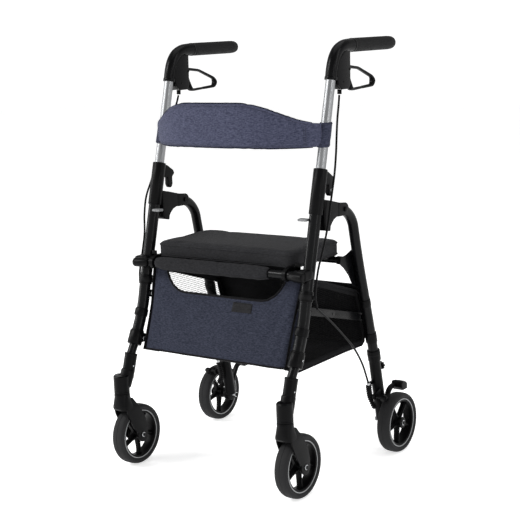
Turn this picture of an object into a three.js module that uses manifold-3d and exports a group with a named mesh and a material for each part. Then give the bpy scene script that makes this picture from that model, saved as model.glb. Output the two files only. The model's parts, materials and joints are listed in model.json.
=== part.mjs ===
// Rollator walker with a fore-and-aft folding frame, padded seat, backrest band and basket.
// Millimetres, +Z up, +X to the user's left, -Y to the front. The floor is Z = 0 and X = 0 the plane of symmetry.
import * as THREE from "three";
import { mergeVertices } from "three/addons/utils/BufferGeometryUtils.js";
import Module from "manifold-3d";

const wasm = await Module();
wasm.setup();

// ---- driving dimensions ----
const FRAME_X = 240; // side frames lie in planes this far from the middle
const FRONT_WHEEL = { x: 244, y: -213 };
const REAR_WHEEL = { x: 282, y: 178 };
const WHEEL_R = 75; // floor to axle
const TYRE_HALF_WIDTH = 17.5;
const RIM_R = 61; // where the tyre meets the rim
const WHEEL_SIDES = 32;
const TUBE_SIDES = 16;

const POST_LEAN = 0.27; // rearward run per unit of rise of the post and the upper front leg
const POST_TOP = { y: -24, z: 925 };
const POST_R = 11.5;
const LEG_R = 13.2;
const LEG_BORE_R = 12.1;
const INNER_LEG_R = 11;
const SOCKET_R = 16.2;
const SOCKET_BORE_R = 13.6;

const ELBOW_R = 14.5;
const GRIP_R = 16;
const GRIP_Z = 1016;
const GRIP_START_Y = 76;
const GRIP_END_Y = 258;
const LEVER_PIVOT = { y: 41, z: 962 };

const CASTER_Y = -258; // swivel axis
const BARREL_R = 19;
const COLUMN_R = 19.5;
const BARREL_BOTTOM_Z = 192.2;
const BARREL_TOP_Z = 238;

const FOLD_PIVOT = { y: 0, z: 640 };
const REAR_LEG_R = 12.5;
const LOWER_LEG_R = 14.5;
const BRACE_FRONT = { y: -150, z: 424 };
const BRACE_REAR = { y: 117, z: 353 };
const BRACE_HALF_WIDTH = 9.5;

const SEAT_HALF_WIDTH = 207;
const SEAT_FRONT_Y = -146;
const SEAT_REAR_Y = 62;
const SEAT_CORNER_R = 22;
const PAN_BOTTOM_Z = 516.5;
const PAN_TOP_Z = 525;
const CUSHION_TOP_Z = 557;
const BAR = { y: -164, z: 507, r: 10 };
const CROSSBAR = { y: 38, z: 508, r: 8 };

const GAP = 0.3; // left between pieces that touch
const PIN_CLEARANCE = 0.4;

// ---- materials ----
const finish = (color, roughness, metalness = 0) =>
  new THREE.MeshStandardMaterial({ color, roughness, metalness });
const SILVER = finish(0xc9cbcd, 0.3, 1);
const BLACK_METAL = finish(0x1c1d1f, 0.4, 0.4);
const BLACK_PLASTIC = finish(0x161718, 0.5);
const GRIP_RUBBER = finish(0x2a2a2b, 0.8);
const TYRE_RUBBER = finish(0x2e2e30, 0.9);
const BLACK_FABRIC = finish(0x2b2b2d, 0.95);
const NAVY_FABRIC = finish(0x3d4460, 0.95);
const CABLE_SKIN = finish(0x101011, 0.5);
const TAB_GREY = finish(0x9a9c9e, 0.5);
const ZINC = finish(0xa8aaac, 0.35, 0.9);

// ---- solids ----
function solid(geometry) {
  const flat = geometry.index ? geometry.toNonIndexed() : geometry;
  const bare = new THREE.BufferGeometry();
  bare.setAttribute("position", flat.getAttribute("position"));
  const merged = mergeVertices(bare, 1e-3);
  return new wasm.Manifold(
    new wasm.Mesh({
      numProp: 3,
      vertProperties: merged.attributes.position.array,
      triVerts: new Uint32Array(merged.index.array),
    }),
  );
}

function geometryOf(body) {
  const mesh = body.getMesh();
  const geometry = new THREE.BufferGeometry();
  geometry.setAttribute("position", new THREE.BufferAttribute(new Float32Array(mesh.vertProperties), 3));
  geometry.setIndex(new THREE.BufferAttribute(new Uint32Array(mesh.triVerts), 1));
  geometry.computeVertexNormals();
  return geometry;
}

const join = (...bodies) => bodies.reduce((a, b) => a.add(b));
const at = (x, y, z) => new THREE.Vector3(x, y, z);

function ngon(radius, sides, Kind = THREE.Shape) {
  const points = [];
  for (let i = 0; i < sides; i++) {
    const angle = (2 * Math.PI * (i + 0.5)) / sides;
    points.push(new THREE.Vector2(radius * Math.cos(angle), radius * Math.sin(angle)));
  }
  return new Kind(points);
}

// A round bar along a straight line or a smooth curve through the points.
function rod(points, radius, sides = TUBE_SIDES, steps = 1, boreRadius = 0) {
  const path =
    points.length === 2
      ? new THREE.LineCurve3(points[0], points[1])
      : new THREE.CatmullRomCurve3(points, false, "centripetal");
  const shape = ngon(radius, sides);
  if (boreRadius) shape.holes.push(ngon(boreRadius, sides, THREE.Path));
  return solid(new THREE.ExtrudeGeometry(shape, { steps, extrudePath: path, bevelEnabled: false }));
}

// A bar through (y, z) points in the side frame's plane.
const sideRod = (points, radius, sides, steps, x = FRAME_X) =>
  rod(points.map(([y, z]) => at(x, y, z)), radius, sides, steps);

const pin = (radius, x0, x1, { y, z }, sides = 12) => rod([at(x0, y, z), at(x1, y, z)], radius, sides);

function box(x0, x1, y0, y1, z0, z1) {
  const geometry = new THREE.BoxGeometry(x1 - x0, y1 - y0, z1 - z0);
  geometry.translate((x0 + x1) / 2, (y0 + y1) / 2, (z0 + z1) / 2);
  return solid(geometry);
}

// A plate with a (y, z) outline between two x values. A hole is an outline of its own.
function plate(outline, x0, x1, hole) {
  const shape = new THREE.Shape(outline.map(([y, z]) => new THREE.Vector2(y, z)));
  if (hole) shape.holes.push(new THREE.Path(hole.map(([y, z]) => new THREE.Vector2(y, z))));
  const geometry = new THREE.ExtrudeGeometry(shape, { depth: x1 - x0, bevelEnabled: false });
  const turn = new THREE.Matrix4().makeBasis(at(0, 1, 0), at(0, 0, 1), at(1, 0, 0));
  geometry.applyMatrix4(turn).translate(x0, 0, 0);
  return solid(geometry);
}

// A body of revolution about a line along X through (y, z), from (radius, x) points round one closed profile.
function wheelPart(profile, x, y, z, sides = WHEEL_SIDES) {
  const points = [...profile, profile[0]].map(([r, w]) => new THREE.Vector2(r, w));
  const geometry = new THREE.LatheGeometry(points, sides, Math.PI / sides);
  geometry.rotateZ(-Math.PI / 2).translate(x, y, z);
  return solid(geometry);
}

const postY = (z) => POST_TOP.y - POST_LEAN * (POST_TOP.z - z);
const onPost = (z) => at(FRAME_X, postY(z), z);
const postRod = (z0, z1, radius, sides) => rod([onPost(z0), onPost(z1)], radius, sides);

function arc(y, z, radius, from, to, steps) {
  const points = [];
  for (let i = 0; i <= steps; i++) {
    const angle = THREE.MathUtils.degToRad(from + ((to - from) * i) / steps);
    points.push([y + radius * Math.cos(angle), z + radius * Math.sin(angle)]);
  }
  return points;
}

// ---- placing ----
const object = new THREE.Group();

function place(name, body, material) {
  const mesh = new THREE.Mesh(geometryOf(body), material);
  mesh.name = name;
  object.add(mesh);
}

// The pieces on the user's left are modelled, and those on the right are their mirror images.
function placePair(name, body, material) {
  place(name + "_left", body, material);
  place(name + "_right", body.mirror([1, 0, 0]), material);
}

// ---- front frame ----
const UPPER_LEG_TOP_Z = 735;
const BORE_BOTTOM_Z = 540;
const UPPER_LEG_LINE = [
  [postY(UPPER_LEG_TOP_Z), UPPER_LEG_TOP_Z],
  [postY(640), 640],
  [postY(530), 530],
  [postY(440), 440],
  [-163.5, 405],
  [-177, 368],
  [-194, 332],
];
const INNER_LEG_LINE = [
  [-190, 340],
  [-205, 310],
  [-221.5, 283],
  [-229, 265],
];
const COLLARS = [
  { from: 447, to: 470, r: 16 },
  { from: 371, to: 387, r: 16.3 },
];

function frontLeg() {
  const upper = sideRod(UPPER_LEG_LINE, LEG_R, TUBE_SIDES, 14).subtract(
    postRod(BORE_BOTTOM_Z, UPPER_LEG_TOP_Z + 5, LEG_BORE_R),
  );
  const inner = sideRod(INNER_LEG_LINE, INNER_LEG_R, TUBE_SIDES, 4);
  const collars = [
    rod([onPost(COLLARS[0].from), onPost(COLLARS[0].to)], COLLARS[0].r),
    sideRod([[-177.5, 371], [-170.5, 388]], COLLARS[1].r),
  ];
  const clamp = join(
    sideRod([[-208, 304], [-192, 336]], 17),
    box(FRAME_X - 21, FRAME_X - 10, -202, -184, 310, 328),
    pin(3.5, FRAME_X - 24, FRAME_X + 19, { y: -193, z: 319 }, 8),
  );
  const bracePin = join(
    pin(4, FRAME_X - 19, FRAME_X, BRACE_FRONT),
    pin(7, FRAME_X - 20.1, FRAME_X - 18.3, BRACE_FRONT),
  );
  return join(upper, inner, ...collars, clamp, bracePin);
}
placePair("front_leg", frontLeg(), BLACK_METAL);

const SOCKET_TOP_Z = 742;
const SOCKET_BOTTOM_Z = 640;
const ARM_HALF_WIDTH = 17.5;
const HOOK_OUTLINE = [
  [-80, 736],
  [-50, 733],
  [-27, 718],
  [-24, 710],
  [-33, 702],
  [-33, 684],
  [-36, 678],
  [-41, 675.5],
  [-46, 678],
  [-49.5, 684],
  [-50, 703],
  [-80, 704],
];
const ARM_OUTLINE = [
  [-90, 674],
  [-60, 668],
  [-18, 657],
  ...arc(0, 640, 16, 75, -60, 6),
  [-10, 625],
  [-24, 627],
  [-34, 624],
  [-44, 617],
  [-51, 612],
  [-53, 597],
  [-86, 603],
];

function heightSocket() {
  const legHole = postRod(580, SOCKET_TOP_Z + 20, SOCKET_BORE_R);
  const sleeve = postRod(SOCKET_BOTTOM_Z, SOCKET_TOP_Z, SOCKET_R);
  const hook = plate(HOOK_OUTLINE, FRAME_X - 5.5, FRAME_X + 5.5);
  const arm = plate(ARM_OUTLINE, FRAME_X - ARM_HALF_WIDTH, FRAME_X + ARM_HALF_WIDTH);
  const legSlotHalf = REAR_LEG_R + 0.6;
  const slot = box(FRAME_X - legSlotHalf, FRAME_X + legSlotHalf, -22, 30, 590, 690);
  const boltHole = pin(4 + PIN_CLEARANCE, FRAME_X - 30, FRAME_X + 30, FOLD_PIVOT);
  return join(sleeve, hook, arm).subtract(legHole).subtract(slot).subtract(boltHole);
}
placePair("height_socket", heightSocket(), BLACK_PLASTIC);

function pivotBolt() {
  const head = ARM_HALF_WIDTH + GAP;
  return join(
    pin(4, FRAME_X - head - 1, FRAME_X + head + 1, FOLD_PIVOT),
    pin(6.5, FRAME_X - head - 3.5, FRAME_X - head, FOLD_PIVOT, 6),
    pin(6.5, FRAME_X + head, FRAME_X + head + 3.5, FOLD_PIVOT, 16),
  );
}
placePair("fold_pivot_bolt", pivotBolt(), ZINC);

// Spring-loaded tab below the socket, pulled inwards to free the handle post.
const TAB = { bottom: 624, top: 634.5, inner: 208, outer: 235, front: -126, rear: -107 };
const TAB_STROKE = 8;
function releaseTab() {
  const blank = box(TAB.inner, TAB.outer, TAB.front, TAB.rear, TAB.bottom, TAB.top);
  const leg = postRod(600, 660, LEG_R + 1);
  const legRoom = join(leg, leg.translate([TAB_STROKE / 2, 0, 0]), leg.translate([TAB_STROKE, 0, 0]));
  return blank.subtract(legRoom);
}
placePair("height_release_tab", releaseTab(), TAB_GREY);

function frontCrossBar() {
  const reach = FRAME_X - 17;
  const bow = [];
  for (let i = -4; i <= 4; i++) {
    bow.push(at((reach * i) / 4, BAR.y - 0.01 * (16 - i * i), BAR.z));
  }
  const tube = rod(bow, BAR.r, 16, 8);
  const saddle = box(reach - 2, FRAME_X + 17, BAR.y - 12, postY(BAR.z) + 2, BAR.z - 15, BAR.z + 15);
  const saddles = join(saddle, saddle.mirror([1, 0, 0]));
  const leg = postRod(440, 580, LEG_R + GAP);
  return join(tube, saddles).subtract(leg).subtract(leg.mirror([1, 0, 0]));
}
place("front_cross_bar", frontCrossBar(), BLACK_METAL);
place("cross_bar_sleeve", rod([at(-186, BAR.y, BAR.z), at(150, BAR.y, BAR.z)], 17, 16, 1, BAR.r + 1), BLACK_FABRIC);

// ---- casters ----
function casterHead() {
  const barrel = rod([at(FRAME_X + 4, CASTER_Y, BARREL_BOTTOM_Z), at(FRAME_X + 4, CASTER_Y, BARREL_TOP_Z)], BARREL_R);
  const sleeve = sideRod([[-240, 226], [-220.5, 284]], 15.5);
  const legHole = sideRod(INNER_LEG_LINE, INNER_LEG_R + PIN_CLEARANCE, TUBE_SIDES, 4);
  const legEnd = sideRod([[-229, 265.5], [-231.5, 259]], INNER_LEG_R + PIN_CLEARANCE);
  const stemHole = rod([at(FRAME_X + 4, CASTER_Y, 180), at(FRAME_X + 4, CASTER_Y, 222)], 6.6, 12);
  return join(barrel, sleeve).subtract(legHole).subtract(legEnd).subtract(stemHole);
}
placePair("caster_head", casterHead(), BLACK_PLASTIC);

const FORK_TOP_Z = 191.4;
const COLUMN_BOTTOM_Z = 150;
const CHEEK = { inner: 18.6, outer: 22.4 };
// Half-width of the fork at a height: narrow as the column above, wide enough to straddle the wheel below.
const FORK_WIDTHS = [
  [20, FORK_TOP_Z],
  [20, 172],
  [CHEEK.outer, 152],
  [CHEEK.outer, 0],
];
function casterFork() {
  const { x, y } = FRONT_WHEEL;
  const axis = { y, z: WHEEL_R };
  const outline = [
    [CASTER_Y - 19, 172],
    [CASTER_Y - 21, 165],
    [CASTER_Y - 20.5, 154],
    [CASTER_Y - 12, 140],
    [CASTER_Y + 3, 117],
    [y - 29, 95],
    ...arc(y, WHEEL_R, 18, 165, 375, 8),
    [y + 17, 100],
    [y + 12, 122],
    [y + 4, 140],
    [y - 4, 158],
    [y - 15, 172],
  ];
  const widths = [...FORK_WIDTHS, ...FORK_WIDTHS.map(([w, z]) => [-w, z]).reverse()];
  const envelope = new THREE.ExtrudeGeometry(
    new THREE.Shape(widths.map(([w, z]) => new THREE.Vector2(x + w, z))),
    { depth: 160, bevelEnabled: false },
  );
  envelope.applyMatrix4(new THREE.Matrix4().makeBasis(at(1, 0, 0), at(0, 0, 1), at(0, -1, 0)));
  envelope.translate(0, -160, 0);
  const yoke = plate(outline.reverse(), x - CHEEK.outer, x + CHEEK.outer).intersect(solid(envelope));
  const column = rod([at(x, CASTER_Y, COLUMN_BOTTOM_Z), at(x, CASTER_Y, FORK_TOP_Z)], COLUMN_R);
  const wheelRoom = pin(79.5, x - CHEEK.inner, x + CHEEK.inner, axis, WHEEL_SIDES);
  const stem = rod([at(x, CASTER_Y, FORK_TOP_Z - 2), at(x, CASTER_Y, 220)], 6, 12);
  const axleHole = pin(4.5 + PIN_CLEARANCE, x - 30, x + 30, axis);
  return join(yoke, column).subtract(wheelRoom).subtract(axleHole).add(stem);
}
placePair("caster_fork", casterFork(), BLACK_PLASTIC);

function frontAxle() {
  const { x, y } = FRONT_WHEEL;
  const axis = { y, z: WHEEL_R };
  const face = CHEEK.outer + GAP;
  return join(
    pin(4.5, x - face - 1, x + face + 1, axis),
    pin(7, x - face - 3.5, x - face, axis, 6),
    pin(7, x + face, x + face + 3.5, axis, 6),
  );
}
placePair("front_axle", frontAxle(), ZINC);

// ---- wheels ----
const TYRE_CORNER_R = WHEEL_R / Math.cos(Math.PI / WHEEL_SIDES); // the flats between corners stand on the floor
const TYRE_PROFILE = [
  [RIM_R, -13],
  [66, -TYRE_HALF_WIDTH + 0.5],
  [70.5, -TYRE_HALF_WIDTH],
  [74, -13],
  [TYRE_CORNER_R, -7],
  [TYRE_CORNER_R, 7],
  [74, 13],
  [70.5, TYRE_HALF_WIDTH],
  [66, TYRE_HALF_WIDTH - 0.5],
  [RIM_R, 13],
];
const SPOKES = 5;

function rim(x, y) {
  const outerR = RIM_R - GAP;
  const ring = wheelPart([[55, -13], [outerR, -13], [outerR, 13], [55, 13]], x, y, WHEEL_R);
  const hub = pin(12, x - 17, x + 17, { y, z: WHEEL_R }, 16);
  const spokes = [];
  for (let i = 0; i < SPOKES; i++) {
    const spoke = new THREE.BoxGeometry(11, 9, 50);
    spoke.translate(0, 0, 32).rotateX((2 * Math.PI * i) / SPOKES).translate(x, y, WHEEL_R);
    spokes.push(solid(spoke));
  }
  return join(ring, hub, ...spokes).subtract(pin(5.1, x - 20, x + 20, { y, z: WHEEL_R }, 16));
}

for (const [name, { x, y }] of Object.entries({ front: FRONT_WHEEL, rear: REAR_WHEEL })) {
  placePair(name + "_tyre", wheelPart(TYRE_PROFILE, x, y, WHEEL_R), TYRE_RUBBER);
  placePair(name + "_rim", rim(x, y), BLACK_PLASTIC);
}

// ---- rear frame ----
const REAR_LEG_LINE = [
  [-14, 644],
  [2, 640],
  [24, 632],
  [44, 618],
  [58, 598],
  [64, 574],
  [70, 545],
  [84, 485],
  [101, 421],
  [122, 341],
  [134, 292],
  [143, 252],
];

function rearLeg() {
  const tube = sideRod(REAR_LEG_LINE, REAR_LEG_R, TUBE_SIDES, 24);
  const collars = [
    sideRod([[105, 402], [110, 384]], 14),
    sideRod([[129, 312], [134.5, 288]], 14.5),
  ];
  const bracePin = join(
    pin(4, FRAME_X - 22, FRAME_X, BRACE_REAR),
    pin(7, FRAME_X - 23.6, FRAME_X - 21.8, BRACE_REAR),
  );
  const boltHole = pin(4 + PIN_CLEARANCE, FRAME_X - 30, FRAME_X + 30, FOLD_PIVOT);
  return join(tube, ...collars, bracePin).subtract(boltHole);
}
placePair("rear_leg", rearLeg(), BLACK_METAL);

const GUSSET = { inner: FRAME_X - 14.6, outer: FRAME_X - REAR_LEG_R - GAP };
const GUSSET_OUTLINE = [
  [18, 502],
  [36, 489],
  [56, 468],
  [72, 442],
  [84, 434],
  [98, 436],
  [74, 530],
  [48, 521],
  [22, 517],
];
function rearCrossBar() {
  const bar = rod([at(-GUSSET.inner, CROSSBAR.y, CROSSBAR.z), at(GUSSET.inner, CROSSBAR.y, CROSSBAR.z)], CROSSBAR.r, 16);
  const gusset = join(
    plate(GUSSET_OUTLINE, GUSSET.inner, GUSSET.outer),
    pin(10, FRAME_X - 33, GUSSET.inner + 1, CROSSBAR, 16),
  );
  return join(bar, gusset, gusset.mirror([1, 0, 0]));
}
place("rear_cross_bar", rearCrossBar(), BLACK_METAL);

// Lower rear leg with its clamp, axle stub and brake lug.
const LOWER_LEG_LINE = [
  [141, 262],
  [148, 222],
  [160, 160],
  [172, 98],
  [175, 76],
];
const SHOE_PIVOT = { y: 127, z: 150 };
const REAR_AXIS = { y: REAR_WHEEL.y, z: WHEEL_R };
function lowerRearLeg() {
  const legHole = sideRod([[125, 330], [134, 292], [143, 251]], REAR_LEG_R + PIN_CLEARANCE, TUBE_SIDES, 8);
  const tube = sideRod(LOWER_LEG_LINE, LOWER_LEG_R, TUBE_SIDES, 8);
  const clamp = sideRod([[141.4, 264], [145.5, 240]], 16.2);
  const knob = sideRod([[150, 212], [176, 217]], 4.5, 8);
  const knobHead = sideRod([[172, 216], [182, 218]], 8, 8);
  const lug = plate(
    [[119, 155], [121, 145], [127, 142], [152, 138], [157, 168], [129, 158]],
    FRAME_X + 5,
    FRAME_X + 12,
  );
  const shoePin = pin(3.5, FRAME_X + 8, FRAME_X + 58, SHOE_PIVOT);
  const hubPlate = pin(17, FRAME_X - 6, FRAME_X + 15, REAR_AXIS, 16);
  return join(tube, clamp, knob, knobHead, lug, shoePin, hubPlate)
    .subtract(legHole)
    .subtract(pin(4.5 + PIN_CLEARANCE, FRAME_X - 40, FRAME_X + 80, REAR_AXIS));
}
placePair("lower_rear_leg", lowerRearLeg(), BLACK_PLASTIC);

function rearAxle() {
  const inner = FRAME_X - 15;
  const outer = REAR_WHEEL.x + 17 + GAP;
  return join(
    pin(4.5, inner - 2, outer + 1, REAR_AXIS),
    pin(8, inner - 5, inner, REAR_AXIS, 6),
    pin(7, outer, outer + 4, REAR_AXIS, 6),
  );
}
placePair("rear_axle", rearAxle(), ZINC);

// Curved brake shoe over the top front of the tyre, turning on the lug's pin.
const SHOE = { inner: 77.5, outer: 86, from: 128, to: 100, halfWidth: 15, knuckle: 7 };
function brakeShoe() {
  const x0 = REAR_WHEEL.x - SHOE.halfWidth;
  const x1 = REAR_WHEEL.x + SHOE.halfWidth;
  const outline = [
    ...arc(REAR_WHEEL.y, WHEEL_R, SHOE.inner, SHOE.from, SHOE.to, 4),
    ...arc(REAR_WHEEL.y, WHEEL_R, SHOE.outer, SHOE.to, SHOE.from, 4),
  ];
  return plate(outline.reverse(), x0, x1)
    .add(pin(SHOE.knuckle, x0, x1, SHOE_PIVOT))
    .subtract(pin(3.5 + PIN_CLEARANCE, x0 - 5, x1 + 5, SHOE_PIVOT));
}
placePair("brake_shoe", brakeShoe(), BLACK_PLASTIC);

function tipPedal() {
  const arm = sideRod([[190, 112], [206, 140], [226, 149], [246, 147]], 5.5, 10, 8, FRAME_X + 2);
  const pad = plate([[238, 156], [258, 151], [264, 146], [260, 137], [242, 138], [236, 146]], FRAME_X - 4, FRAME_X + 26);
  const foot = plate([[184, 100], [198, 104], [200, 122], [186, 126]], FRAME_X - 5, FRAME_X + 9);
  const leg = sideRod(LOWER_LEG_LINE, LOWER_LEG_R + GAP, TUBE_SIDES, 8);
  const hub = pin(17 + GAP, FRAME_X - 10, FRAME_X + 16, REAR_AXIS, 16);
  return join(arm, pad, foot).subtract(leg).subtract(hub);
}
placePair("tip_pedal", tipPedal(), BLACK_PLASTIC);

// ---- side braces ----
const BRACE_MIDDLE = {
  y: (BRACE_FRONT.y + BRACE_REAR.y) / 2,
  z: (BRACE_FRONT.z + BRACE_REAR.z) / 2,
};
function braceLink(from, to, x0, x1) {
  const slope = THREE.MathUtils.radToDeg(Math.atan2(to.z - from.z, to.y - from.y));
  const outline = [
    ...arc(to.y, to.z, BRACE_HALF_WIDTH, slope - 90, slope + 90, 8),
    ...arc(from.y, from.z, BRACE_HALF_WIDTH, slope + 90, slope + 270, 8),
  ];
  return plate(outline, x0, x1);
}
const PIN_HOLE_R = 4 + PIN_CLEARANCE;
const FRONT_LINK_X = [FRAME_X - 18, FRAME_X - 15];
const REAR_LINK_X = [FRAME_X - 21.5, FRAME_X - 18.5];
const frontLink = braceLink(BRACE_FRONT, BRACE_MIDDLE, ...FRONT_LINK_X).subtract(
  pin(PIN_HOLE_R, 200, 240, BRACE_FRONT),
);
placePair("brace_front_link", frontLink, BLACK_METAL);
const rearLink = braceLink(BRACE_REAR, BRACE_MIDDLE, ...REAR_LINK_X).subtract(pin(PIN_HOLE_R, 200, 240, BRACE_REAR));
placePair("brace_rear_link", rearLink, BLACK_METAL);

// ---- handles ----
const SLEEVE_BOTTOM_Z = 941;
const POST_TOP_Z = 965;
const POST_BOTTOM_Z = 600;
placePair("handle_post", rod([onPost(POST_BOTTOM_Z), onPost(POST_TOP_Z)], POST_R, TUBE_SIDES), SILVER);

const ELBOW_LINE = [
  [postY(SLEEVE_BOTTOM_Z), SLEEVE_BOTTOM_Z],
  [postY(970), 970],
  [-2, 990],
  [13, 1005],
  [36, 1014],
  [60, GRIP_Z],
  [GRIP_START_Y - GAP, GRIP_Z],
];
const HOUSING_OUTLINE = [
  [-14, 950],
  [-8, 928],
  [6, 917],
  [34, 917],
  [43, 927],
  [45, 1004],
  [20, 1004],
  [-4, 985],
];
function elbow() {
  const tube = sideRod(ELBOW_LINE, ELBOW_R, TUBE_SIDES, 18);
  const spigot = sideRod([[GRIP_START_Y - 2, GRIP_Z], [GRIP_START_Y + 40, GRIP_Z]], 10.5);
  const housing = plate(HOUSING_OUTLINE, FRAME_X - 12, FRAME_X + 12);
  const adjuster = sideRod([[15, 904], [17, 920]], 4.5, 8);
  const leverSlot = box(FRAME_X - 7, FRAME_X + 7, 25, 60, 900, 986);
  const leverPin = pin(2.5, FRAME_X - 12, FRAME_X + 12, LEVER_PIVOT, 8);
  return join(tube, spigot, housing, adjuster)
    .subtract(leverSlot)
    .subtract(postRod(900, POST_TOP_Z + 3, POST_R + PIN_CLEARANCE))
    .add(leverPin);
}
placePair("handle_elbow", elbow(), BLACK_PLASTIC);

function grip() {
  const profile = [
    [0, GRIP_END_Y + 5],
    [9, GRIP_END_Y + 4],
    [14, GRIP_END_Y],
    [GRIP_R - 0.3, GRIP_END_Y - 8],
    [GRIP_R, (GRIP_START_Y + GRIP_END_Y) / 2],
    [GRIP_R - 0.5, GRIP_START_Y],
    [10.5 + PIN_CLEARANCE, GRIP_START_Y],
    [10.5 + PIN_CLEARANCE, GRIP_START_Y + 42],
    [0, GRIP_START_Y + 42],
  ];
  const points = profile.map(([r, y]) => new THREE.Vector2(r, y)).reverse();
  const geometry = new THREE.LatheGeometry(points, TUBE_SIDES, Math.PI / TUBE_SIDES);
  geometry.translate(FRAME_X, 0, 0);
  const turn = new THREE.Matrix4().makeBasis(at(1, 0, 0), at(0, 1, 0), at(0, 0, 1)).setPosition(0, 0, GRIP_Z);
  return solid(geometry.applyMatrix4(turn));
}
placePair("grip", grip(), GRIP_RUBBER);

const LEVER_OUTLINE = [
  [33, 950],
  [46, 922],
  [64, 911],
  [84, 911],
  [153, 914],
  [163, 918],
  [167, 931],
  [160, 942],
  [110, 962],
  [60, 970],
  [42, 971],
  [34, 968],
];
const LEVER_HOLE = [
  [52, 936],
  [70, 918],
  [82, 917],
  [148, 920],
  [153, 923],
  [155, 931],
  [148, 938],
  [106, 955],
  [62, 963],
  [50, 962],
];
const leverBody = plate(LEVER_OUTLINE, FRAME_X - 6, FRAME_X + 6, LEVER_HOLE).subtract(
  pin(2.5 + PIN_CLEARANCE, FRAME_X - 10, FRAME_X + 10, LEVER_PIVOT, 8),
);
placePair("brake_lever", leverBody, BLACK_PLASTIC);

// ---- seat ----
function roundedSlab(halfX, y0, y1, z0, z1, corner) {
  const shape = new THREE.Shape();
  for (const [cx, cy, from] of [
    [halfX - corner, y0 + corner, -90],
    [halfX - corner, y1 - corner, 0],
    [corner - halfX, y1 - corner, 90],
    [corner - halfX, y0 + corner, 180],
  ]) {
    for (const [px, py] of arc(cx, cy, corner, from, from + 90, 4)) {
      if (shape.curves.length || shape.currentPoint.lengthSq()) shape.lineTo(px, py);
      else shape.moveTo(px, py);
    }
  }
  const geometry = new THREE.ExtrudeGeometry(shape, { depth: z1 - z0, bevelEnabled: false });
  return solid(geometry.translate(0, 0, z0));
}
function seatPan() {
  const board = roundedSlab(SEAT_HALF_WIDTH - 2, SEAT_FRONT_Y, SEAT_REAR_Y - 4, PAN_BOTTOM_Z, PAN_TOP_Z, SEAT_CORNER_R - 2);
  const hinge = join(
    pin(15, 192, 202, BAR, 16),
    box(192, 202, BAR.y, SEAT_FRONT_Y + 20, BAR.z + 6, PAN_TOP_Z),
  );
  const barRoom = pin(BAR.r + 0.8, -230, 230, BAR, 16);
  return join(board, hinge, hinge.mirror([1, 0, 0])).subtract(barRoom);
}
place("seat_pan", seatPan(), BLACK_PLASTIC);
const cushion = roundedSlab(SEAT_HALF_WIDTH, SEAT_FRONT_Y, SEAT_REAR_Y, PAN_TOP_Z + GAP, CUSHION_TOP_Z, SEAT_CORNER_R);
place("seat_cushion", cushion, BLACK_FABRIC);

// ---- backrest ----
const BAND = { bottom: 790, crown: 898, half: 6, bow: 103, middleY: -163 };
// Top edge of the band, from the crown out to the posts, as (x, z).
const BAND_TOP = [
  [80, BAND.crown],
  [112, 893],
  [140, 885],
  [170, 871],
  [200, 857],
  [220, 850],
  [FRAME_X, 846],
];
const SLEEVE_TOP_Z = 846;
const bandY = (x) => BAND.middleY + BAND.bow * Math.abs(x / FRAME_X) ** 3;
function backrest() {
  const steps = 16;
  const front = [];
  const back = [];
  for (let i = 0; i <= steps; i++) {
    const x = -FRAME_X + (2 * FRAME_X * i) / steps;
    front.push(new THREE.Vector2(x, bandY(x) - BAND.half));
    back.unshift(new THREE.Vector2(x, bandY(x) + BAND.half));
  }
  const strip = new THREE.ExtrudeGeometry(new THREE.Shape([...front, ...back]), {
    depth: BAND.crown - BAND.bottom,
    bevelEnabled: false,
  });
  const band = solid(strip.translate(0, 0, BAND.bottom));
  const over = new THREE.Shape(
    [[300, 950], [60, 950], [60, BAND.crown + 1], ...BAND_TOP, [300, SLEEVE_TOP_Z]]
      .reverse()
      .map(([x, z]) => new THREE.Vector2(x, z)),
  );
  const overCut = new THREE.ExtrudeGeometry(over, { depth: 400, bevelEnabled: false });
  overCut.applyMatrix4(new THREE.Matrix4().makeBasis(at(1, 0, 0), at(0, 0, 1), at(0, -1, 0)));
  const topCut = solid(overCut.translate(0, 200, 0));
  const sleeve = postRod(BAND.bottom, SLEEVE_TOP_Z, 16.5);
  const post = postRod(700, 930, POST_R + 0.6);
  return join(band, sleeve, sleeve.mirror([1, 0, 0]))
    .subtract(topCut)
    .subtract(topCut.mirror([1, 0, 0]))
    .subtract(post)
    .subtract(post.mirror([1, 0, 0]));
}
place("backrest", backrest(), NAVY_FABRIC);

// ---- basket ----
const BASKET = { half: 213, wall: 3 };
const BASKET_SIDE = [
  [-206, 297],
  [-149, 277],
  [48, 278],
  [133, 276],
  [144, 284],
  [145, 312],
  [118, 410],
  [107, 419],
  [-59, 474],
  [-139, 492],
  [-166, 404],
];
const BASKET_ROOM = [
  [-202, 299],
  [-148, 280],
  [48, 281],
  [132, 279],
  [141, 285],
  [142, 312],
  [115, 410],
  [115, 600],
  [-136, 600],
  [-136, 492],
  [-163, 404],
];
function basket() {
  const outside = plate(BASKET_SIDE, -BASKET.half, BASKET.half);
  const inside = plate(BASKET_ROOM, -BASKET.half + BASKET.wall, BASKET.half - BASKET.wall);
  const scoop = new THREE.Shape([
    [-176, 520],
    [-168, 478],
    [-146, 450],
    [-118, 437],
    [118, 437],
    [146, 450],
    [168, 478],
    [176, 520],
  ].map(([x, z]) => new THREE.Vector2(x, z)));
  const cut = new THREE.ExtrudeGeometry(scoop, { depth: 100, bevelEnabled: false });
  cut.applyMatrix4(new THREE.Matrix4().makeBasis(at(1, 0, 0), at(0, 0, 1), at(0, -1, 0)));
  return outside.subtract(inside).subtract(solid(cut.translate(0, -120, 0)));
}
place("basket", basket(), NAVY_FABRIC);

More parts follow.
